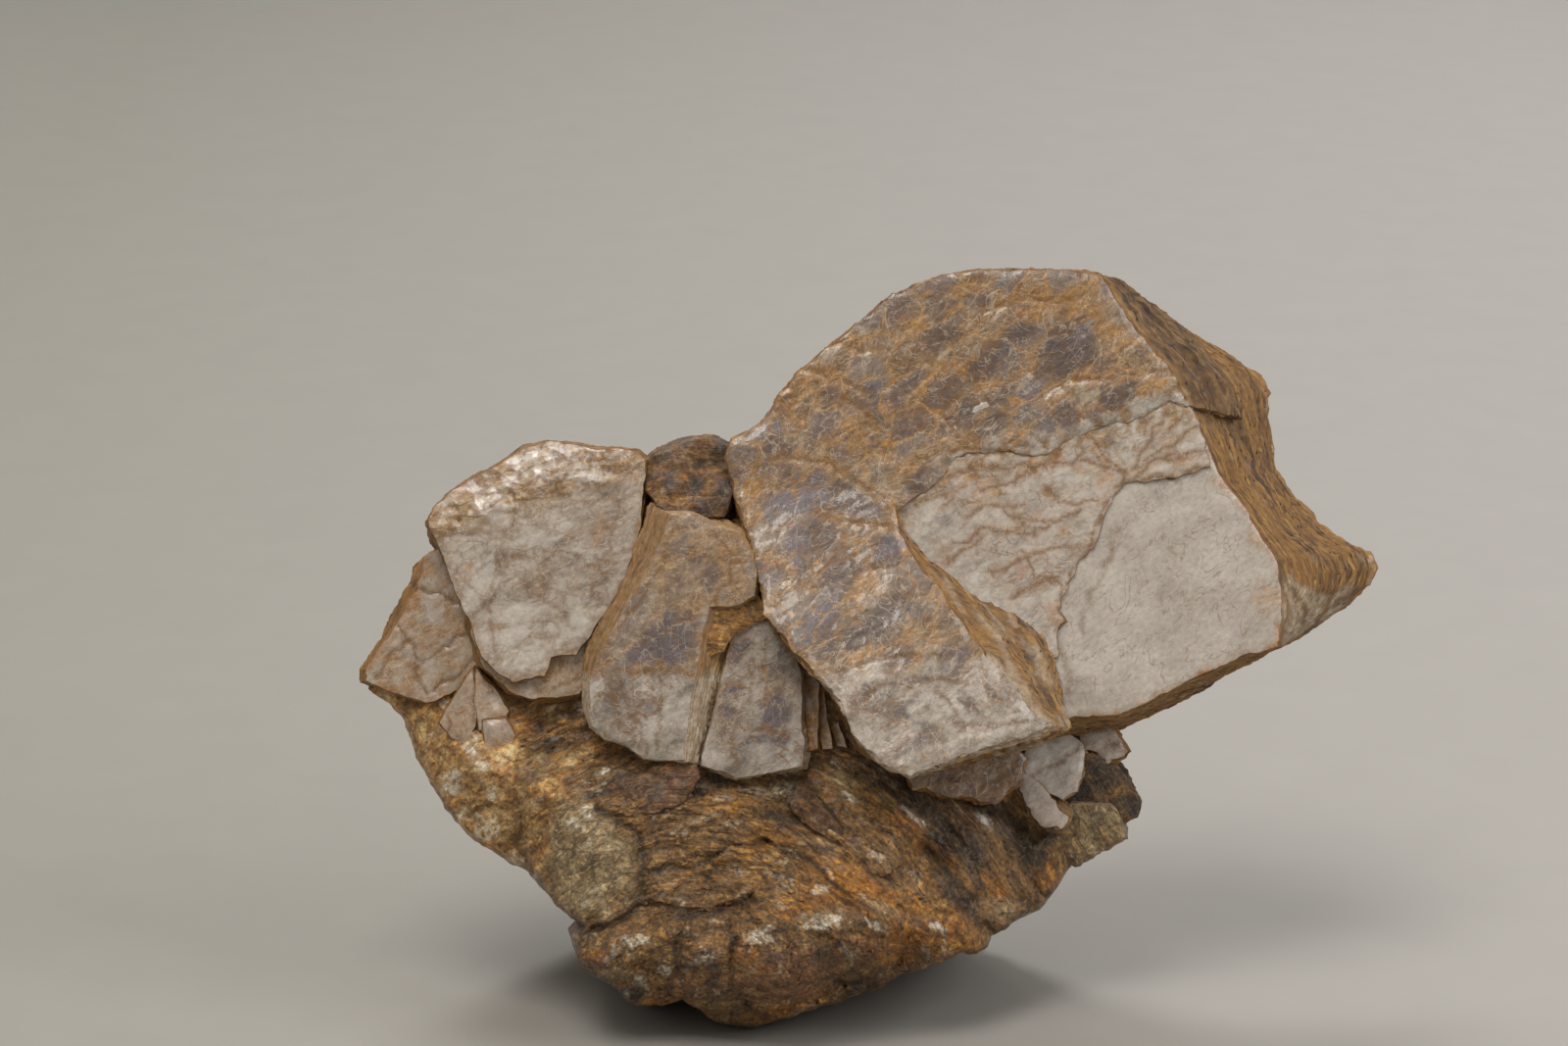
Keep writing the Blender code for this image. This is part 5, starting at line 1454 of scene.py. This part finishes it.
def back_paint(x, h):
    """Stains of the back of the mass, which is rougher and plainer than its front."""
    cloud, blots = rough(x / 14, h / 9, 101, 4), rough(x / 6, h / 4, 102, 4)
    return {"rust": 0.5 * soften(cloud, -0.2, 0.5), "dark": 0.7 * soften(-blots, -0.3, 0.6),
            "gold": 0.4 * soften(-cloud, 0.2, 0.7),
            "white": 0.6 * soften(blots, 0.35, 0.7), "calm": 0 * x}


MASS_RUST = [
    (-44.1, 31.2, 4.2), (8.9, 10, 5, 2.6, -20), (-1.2, 15.4, 4.6, 2.6, -25), (4.8, 20.5, 3.2, 1.5, -40),
    (19.2, 16.4, 2.6), (-10, 19.6, 3.4, 1.4, 10), (-8, 2.2, 4, 1.4, 10), (4, 9.6, 5, 3, 10),
    (-19, 26, 3, 1, 15), (-25, 30, 4, 1.4, 20), (3, 13, 4, 2.4, -20), (-27, 8, 2, 1, 0),
    (13, 15, 2, 1, -40), (-36, 31.6, 3.6, 1.4, 0), (-6, 13.6, 4, 1.4, 10), (-38, 31, 2), (-12, 8.6, 1.6),
    (-20, 3.6, 3, 1, 0), (9, 17.4, 3, 1, -50), (-25, 14, 2.4, 0.8, 60), (-14.6, 22.6, 3, 0.8, 20),
]
MASS_DARK = [
    (10, 19.5, 6, 3, -43), (15, 21, 4, 2, -43), (5, 23.6, 4, 1.6, -30), (-20, 25.4, 5, 1.6, 10),
    (-12, 5, 1.1), (-27, 5.6, 1.6, 0.8, 0), (-29.4, 32.8, 1.6), (-31.4, 29.3, 2.2, 0.8, 0),
    (-16.6, 25, 4.5, 1.2, 15), (-8, 22, 3, 1, -10), (3, 25, 4, 1.3, -20), (12, 22.6, 5, 1.2, -35),
    (16.8, 18.6, 2.8), (10, 13.6, 4.6, 1.4, -55), (1, 4.6, 3, 0.8, 5), (-24, 4.4, 2.4, 0.8, -20),
    (20, 20, 3.5), (8, 28, 6, 2, -10), (-29, 6, 1.8), (-15, 6, 2, 0.8, 60), (-22, 14, 3, 0.6, 10),
    (-12, 13.6, 2.4, 0.5, 10), (-16, 12.4, 5, 0.5, 4), (19.6, 26, 3), (-26, 24.8, 3, 0.8, 25),
    (-4, 8.6, 1.4), (14, 8.8, 2),
]
MASS_PALE = [
    (-8, 25, 2.2, 1.1, 10), (14.4, 12.5, 1.5, 1.2, 0), (-32.8, 28, 1, 0.5, 0), (-31.4, 32.4, 1.1),
    (-2, 25.6, 2, 0.8, -15), (-16, 22, 3, 0.5, 22), (2, 13, 2, 0.8, -25), (-25, 6.4, 1.6, 0.8, 0),
]


def mass_paint(x, h):
    _, chance, groove = mass_relief(x, h)
    flank = flank_share(x, h)
    # Where the relief's ridge noise is low the mass is darkened: painted shade in its hollows.
    hollow = np.clip(0.5 - 1.2 * rough(*arch(x, h, 12.0, 3.0), 90, 2), 0, 1)
    inside = soften(within(SWELLING, x, h) + 0.9 * rough(x / 1.5, h / 1.5, 86, 3), -1.2, 1.0)
    gold = np.maximum(0.9 * flank, 0.8 * patches(x, h, [(-32.4, 20, 2, 5, 0), (-32, 24.4, 2.5),
                                                        (-29, 28, 3, 1, 20), (-3, 20.8, 1.6, 0.5, -35)]))
    orange_rim = soften(-within(MASS_OUTLINE, x, h) + 1.6, -0.6, 0.8) * soften(-x, 34, 37)
    rust = patches(x, h, MASS_RUST)
    dark = patches(x, h, MASS_DARK)
    pale = np.maximum(0.85 * inside, 0.7 * patches(x, h, MASS_PALE))
    mauve = patches(x, h, [(-8, 6, 5, 3.2, 15), (0.5, 9.6, 2.6, 1.2, -10), (-18, 5.6, 2, 1, 0)])
    # The foil stain: shiny sheets whose colour is lifted near white as painted highlights, at the listed
    # glints, on a few shards and on the golden flank.
    sparkle = soften(rough(*arch(x, h, 1.1, 0.45), 83, 3), -0.12, 0.15)
    foil = patches(x, h, PAINTED_GLINTS, 0.5, 85) * (0.2 + 0.8 * sparkle) + 0.3 * sparkle * (chance > 0.95)
    foil = foil + 0.6 * flank * (chance > 0.75) * sparkle
    above = soften(h - 33.5 - 0.1 * (x + 20), -1, 1)
    rust, gold = np.maximum(rust, 0.7 * above), np.maximum(gold, 0.1 * above)
    # Along the grooves the dark stain is painted shade, and the pale and foil stains fade there.
    return {"gold": gold * (1 - inside), "white": pale * (1 - 0.8 * groove),
            "rust": np.maximum(rust, 0.9 * orange_rim),
            "dark": np.maximum(0.95 * dark, np.maximum(0.35 * hollow * (1 - flank) * (1 - inside),
                                                       0.9 * groove)),
            "mauve": 0.7 * mauve, "foil": foil * (1 - groove), "tone": chance, "calm": calm_share(x, h)}


# %% The pillow of the mass
RIM_SHARES = ((-0.7, 0.0), (-0.2, 0.03), (0.0, 0.08), (0.3, 0.2), (0.4, 0.35), (0.4, 0.5), (0.3, 0.65),
              (0.2, 0.8), (0.0, 0.9), (-0.3, 0.96), (-0.7, 1.0))  # mm outward, share of the way to the back
MASS_GRID, BACK_GRID = 0.27, 0.7  # mm between the points of its front and of its back

outline = stretched(MASS_OUTLINE)[:, :2]
rings = [(torn(outline, 0.3, 98, share * 3) + outward(outline) * grow, share) for grow, share in RIM_SHARES]
front_points, front_triangles = filled(rings[0][0], MASS_GRID, 99)
back_points, back_triangles = filled(rings[-1][0], BACK_GRID, 100)
flat = [front_points] + [ring for ring, _ in rings[1:-1]] + [back_points]
shares = np.concatenate([np.full(len(f), share) for f, (_, share) in zip(flat, rings)])
points = np.concatenate(flat)
starts = np.cumsum([0] + [len(f) for f in flat])
faces = [*front_triangles, *side_faces(starts[:-1], len(outline))]
faces += [tuple(starts[-2] + i for i in t[::-1]) for t in back_triangles]
out = mass_front(points[:, 0], points[:, 1]) * (1 - shares) + mass_back(points[:, 0], points[:, 1]) * shares
print("mass points:", len(points), "from", round(out.min(), 1), "to", round(out.max(), 1), "mm out")

# %% The mass as a mesh
world = placed(points[:, 0], points[:, 1], out)
world[:, 2] = np.maximum(world[:, 2], 0)
mesh = bpy.data.meshes.new("mica_mass")
mesh.from_pydata(world.tolist(), [], faces)
front_stains, back_stains = mass_paint(points[:, 0], points[:, 1]), back_paint(points[:, 0], points[:, 1])
behind = soften(shares, 0.25, 0.6)
stains = {name: amount * (1 - behind) + back_stains.get(name, 0) * behind
          for name, amount in front_stains.items()}
mass = finished("mica_mass", mesh, [mass_finish], None, stains)
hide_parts("mica_crystal")

# %% [markdown]
# ## Sheets that stand out of the mass
#
# Round the foot of the books single plates stick out of the mass, pale ones and nearly black
# ones. Each could be sculpted into the mass, but a clean edge needs its own sheet, so a table
# gives the outline, tilt and stains of each, and one loop makes them all.

# %% Sheets that stand out of the mass
SHEETS = {
    "wedge_sheet": (
        [(-27.6, 23.2), (-24, 22.4), (-20.4, 22.6), (-18, 23.8), (-16.6, 26), (-17.4, 27.8), (-20, 27.9),
         (-22.4, 26.6), (-25.6, 25.4)],
        tilted((-22, 25), 7.9, 0.02, -0.3, 0.4, 65), 5.0, mass_finish, stained(seed=73, dark=2.4, mauve=0.5)),
    "smoky_plate": (
        [(5, 24.6), (9.6, 23.8), (13.4, 23.4), (15.6, 24.8), (16.4, 27.6), (14, 30), (8, 29), (4.6, 27)],
        tilted((10, 26), 3.6, -0.16, -0.1, 0.2, 66), 5.0, smoky, stained(seed=74, window=2.0, rust=0.6)),
    "lens_flake": (
        [(-7.2, 23.4), (-5, 20.8), (-1.8, 19.6), (-2.6, 21.8), (-4.4, 24), (-6.4, 24.6)],
        tilted((-5, 22), 7.3, -0.15, -0.25, 0.3, 67), 3.0, mass_finish,
        stained(seed=75, dark=1.8, mauve=0.4)),
    "back_plate": (
        [(14, 23), (18, 19.5), (21.4, 17.4), (24, 21), (25.6, 26), (24.8, 30.5), (20, 33), (14, 31)],
        tilted((20, 25), -2.2, -0.1, 0, 0.3, 68), 5.0, mass_finish, stained(seed=76, dark=1.2, rust=0.5)),
    "pale_plate": (
        [(16.2, 26.4), (18, 25), (20.4, 23.8), (21.8, 24.4), (22.6, 27), (22.2, 29.4), (20, 31), (17, 29.6)],
        tilted((20, 27), 1.2, -0.1, -0.25, 0.15, 69), 6.0, pearly,
        stained([[(17, 25.6), (20, 27.4), (22, 28.6)]], 77, smoke=1.1, tan=0.4, white=0.5)),
    "dark_plate": (
        [(20.8, 23), (22.4, 21.8), (25.6, 21.4), (28, 21.8), (28.3, 23), (26.8, 25.4), (24.8, 27.6),
         (22.2, 28), (21, 26)],
        tilted((24, 25), -0.2, 0.05, 0.25, 0.25, 70), 4.0, mass_finish, stained(seed=78, dark=1.6, calm=2.0)),
    "chip_plate": (
        [(22.6, 28.4), (25.2, 27), (26.6, 28.4), (25.8, 30.2), (24.6, 31.6), (22, 30.6)],
        tilted((24, 29), 0.0, 0.1, -0.2, 0.1, 71), 4.0, pearly, stained(seed=79, rust=0.3, smoke=0.9)),
    "lower_plate": (
        [(20, 18.6), (22, 16.8), (24.6, 18.3), (26.9, 19.4), (26.4, 21.4), (25.2, 22.8), (21.4, 23),
         (19.4, 21)],
        tilted((23, 20), -1.2, -0.05, 0.35, 0.2, 72), 5.0, mass_finish,
        stained(seed=80, white=1.0, dark=0.5)),
    "inner_plate": (
        [(15.8, 24.4), (17.2, 22.2), (18.6, 20.9), (20.2, 20.4), (20.8, 21.8), (19.6, 23.4), (18, 25.2),
         (16, 26.4)],
        tilted((18, 23), 2.4, 0.1, -0.2, 0.1, 73), 6.0, pearly,
        stained([[(17, 22), (19.4, 20.4)]], 81, rust=0.5, smoke=1.0, white=0.45)),
}
for number, (name, (corners, face, thickness, finish, paint)) in enumerate(SHEETS.items()):
    book(name, corners, face, thickness, 18, finish, laminated, spacing=0.3, tear=0.5, fray=0.6,
         seed=22 + number, roll=0.2, rim=0.4, worn=0.5, skirt=0.5, paint=paint)

# %% [markdown]
# ## Loose-looking flakes
#
# Small plates stick out of the mass, each a fraction of a millimetre thick, and their faces are
# what sparkles. They are drawn as thin irregular plates sunk into the surface by about half and
# turned a little from it. All of them are one piece.

# %% Flakes on the mass
FLAKES = 1000
FLAKE_MM = (0.25, 1.1)  # smallest and largest half-length
FLAKE_THICK = 0.07  # mm


def flake_surface(count, chance):
    """Random spots on the mass's front, with the world position and normal of each."""
    spots = chance.uniform((-48, 1), (24, 32), (count * 4, 2))
    x, h = spots[:, 0], spots[:, 1]
    keep = (within(MASS_OUTLINE, x, h) > 0.8) & (flank_share(x, h) < 0.3) & (within(SWELLING, x, h) < -0.5)
    x, h = x[keep][:count], h[keep][:count]
    step = 0.5
    here = placed(x, h, mass_front(x, h))
    right = placed(x + step, h, mass_front(x + step, h)) - here
    up = placed(x, h + step, mass_front(x, h + step)) - here
    normal = np.cross(right, up)
    return x, h, here, normal / np.linalg.norm(normal, axis=1, keepdims=True)

# %% Cut the flakes
chance = np.random.default_rng(44)
spot_x, spot_h, spot_at, spot_normal = flake_surface(FLAKES, chance)
points, faces, tones = [], [], []
for x, h, at, normal in zip(spot_x, spot_h, spot_at, spot_normal):
    turn = chance.normal(0, 0.3) - math.atan2(x - ARCH_CENTRE[0], h - ARCH_CENTRE[1])
    along = placed(math.cos(turn), math.sin(turn), 0) - placed(0, 0, 0)
    lean = normal + 0.35 * np.array(chance.normal(0, 1, 3))
    lean /= np.linalg.norm(lean)
    along -= lean * (along @ lean)
    along /= np.linalg.norm(along)
    across = np.cross(lean, along)
    size = FLAKE_MM[0] + (FLAKE_MM[1] - FLAKE_MM[0]) * chance.beta(1.2, 4.0)
    sides = int(chance.integers(5, 8))
    angles = np.sort(chance.uniform(0, 2 * math.pi, sides))
    radii = size * chance.uniform(0.7, 1.1, sides)
    first = len(points)
    for offset in (0.5, -0.5):
        for angle, radius in zip(angles, radii):
            point = at + (along * math.cos(angle) * radius + across * math.sin(angle) * radius * 0.5
                          + lean * offset * FLAKE_THICK) * MM
            points.append(point)
    faces.append(tuple(first + i for i in range(sides)))
    faces.append(tuple(first + sides + i for i in range(sides))[::-1])
    for i in range(sides):
        j = (i + 1) % sides
        faces.append((first + i, first + sides + i, first + sides + j, first + j))
    tones += [(x, h)] * (2 * sides)
print("flakes:", len(spot_x), "each", FLAKE_THICK, "mm thick")
points = np.array(points)
points[:, 2] = np.maximum(points[:, 2], 0)
mesh = bpy.data.meshes.new("mica_flakes")
mesh.from_pydata(points.tolist(), [], faces)
tones = np.array(tones)
finished("mica_flakes", mesh, [mass_finish], None, mass_paint(tones[:, 0], tones[:, 1]))

# %% [markdown]
# ## Stage, light and camera
#
# The specimen stands on pale grey paper, which fills the view; the paper's colour is painted darker
# on the left and lighter on the right, a painted light falloff. A broad soft light high on the
# left does most of the work, a weaker one fills from the right, and a strip above wakes the
# glints. A long lens from half a metre keeps the plates undistorted, looking down at them by the
# angle they lean.

# %% Floor
floor_mesh = bpy.data.meshes.new("floor")
floor_mesh.from_pydata([(-4, -3, 0), (4, -3, 0), (4, 8, 0), (-4, 8, 0)], [], [(0, 1, 2, 3)])
floor = bpy.data.objects.new("floor", floor_mesh)
bpy.context.scene.collection.objects.link(floor)
paper = bpy.data.materials.new("matt_grey_paper")
paper.use_nodes = True
tree = paper.node_tree
# The paper's colour runs from darker on the left to lighter on the right: a painted light falloff.
across = node(tree, "SeparateXYZ", node(tree, "TexCoord", out="Object"))
across = node(tree, "Math", across, 3.6, 0.5, operation="MULTIPLY_ADD")
painted_light_falloff = node(tree, "ValToRGB", across, stops=[(0.0, "#8d8a82"), (1.0, "#a6a29e")])
tooth = node(tree, "ValToRGB", node(tree, "TexNoise", Scale=900.0, Detail=3.0),
             stops=[(0.3, 0.97), (0.7, 1.0)])
paper_shader = tree.nodes["Principled BSDF"].inputs
tree.links.new(painted(tree, painted_light_falloff, (tooth, 1.0, "MULTIPLY")), paper_shader["Base Color"])
paper_shader["Roughness"].default_value = 0.9
floor_mesh.materials.append(paper)

# %% Camera
LENS_MM, SENSOR_MM, PICTURE_WIDE = 135, 36, 160.0  # the picture is 160 mm wide at the display side
AIM = (-8.0, 51.65)  # mm, the point of the display side in the middle of the picture
reach = PICTURE_WIDE * LENS_MM / SENSOR_MM
camera = bpy.data.objects.new("camera", bpy.data.cameras.new("camera"))
bpy.context.scene.collection.objects.link(camera)
camera.data.sensor_width, camera.data.lens = SENSOR_MM, LENS_MM
camera.data.clip_start, camera.data.clip_end = 0.05, 30
camera.location = placed(AIM[0], AIM[1], reach)
aim = Vector(placed(*AIM, 0)) - camera.location
camera.rotation_euler = aim.to_track_quat("-Z", "Y").to_euler()
bpy.context.scene.camera = camera
print("camera at, mm:", [round(c * 1000) for c in camera.location])

# %% Lights


def softbox(name, at, size, watts, colour="#ffffff", aim=(0, 0, 0.04), spread=180):
    """A square area light at a place in metres, turned to a point and shining within an angle."""
    lamp = bpy.data.objects.new(name, bpy.data.lights.new(name, "AREA"))
    bpy.context.scene.collection.objects.link(lamp)
    lamp.data.shape, lamp.data.size = "SQUARE", size
    lamp.data.energy, lamp.data.color = watts, linear(colour)[:3]
    lamp.data.spread = math.radians(spread)
    lamp.location = at
    lamp.rotation_euler = (Vector(aim) - Vector(at)).to_track_quat("-Z", "Y").to_euler()
    return lamp


softbox("key_softbox", (-0.2, -0.5, 0.95), 0.45, 6.4, "#fffaf2")
softbox("fill_softbox", (0.9, -0.45, 0.7), 0.6, 5.0)
softbox("top_strip", (-0.2, 0.35, 0.8), 0.3, 3.0)
softbox("floor_softbox", (0.1, 0.75, 0.8), 0.3, 0.5, aim=(0.1, 0.65, 0), spread=90)

# %% The room's own light
world = bpy.data.worlds.new("studio")
bpy.context.scene.world = world
world.use_nodes = True
world.node_tree.nodes["Background"].inputs["Color"].default_value = linear("#f2efea")
world.node_tree.nodes["Background"].inputs["Strength"].default_value = 0.45
bpy.context.scene.view_settings.view_transform = "Standard"
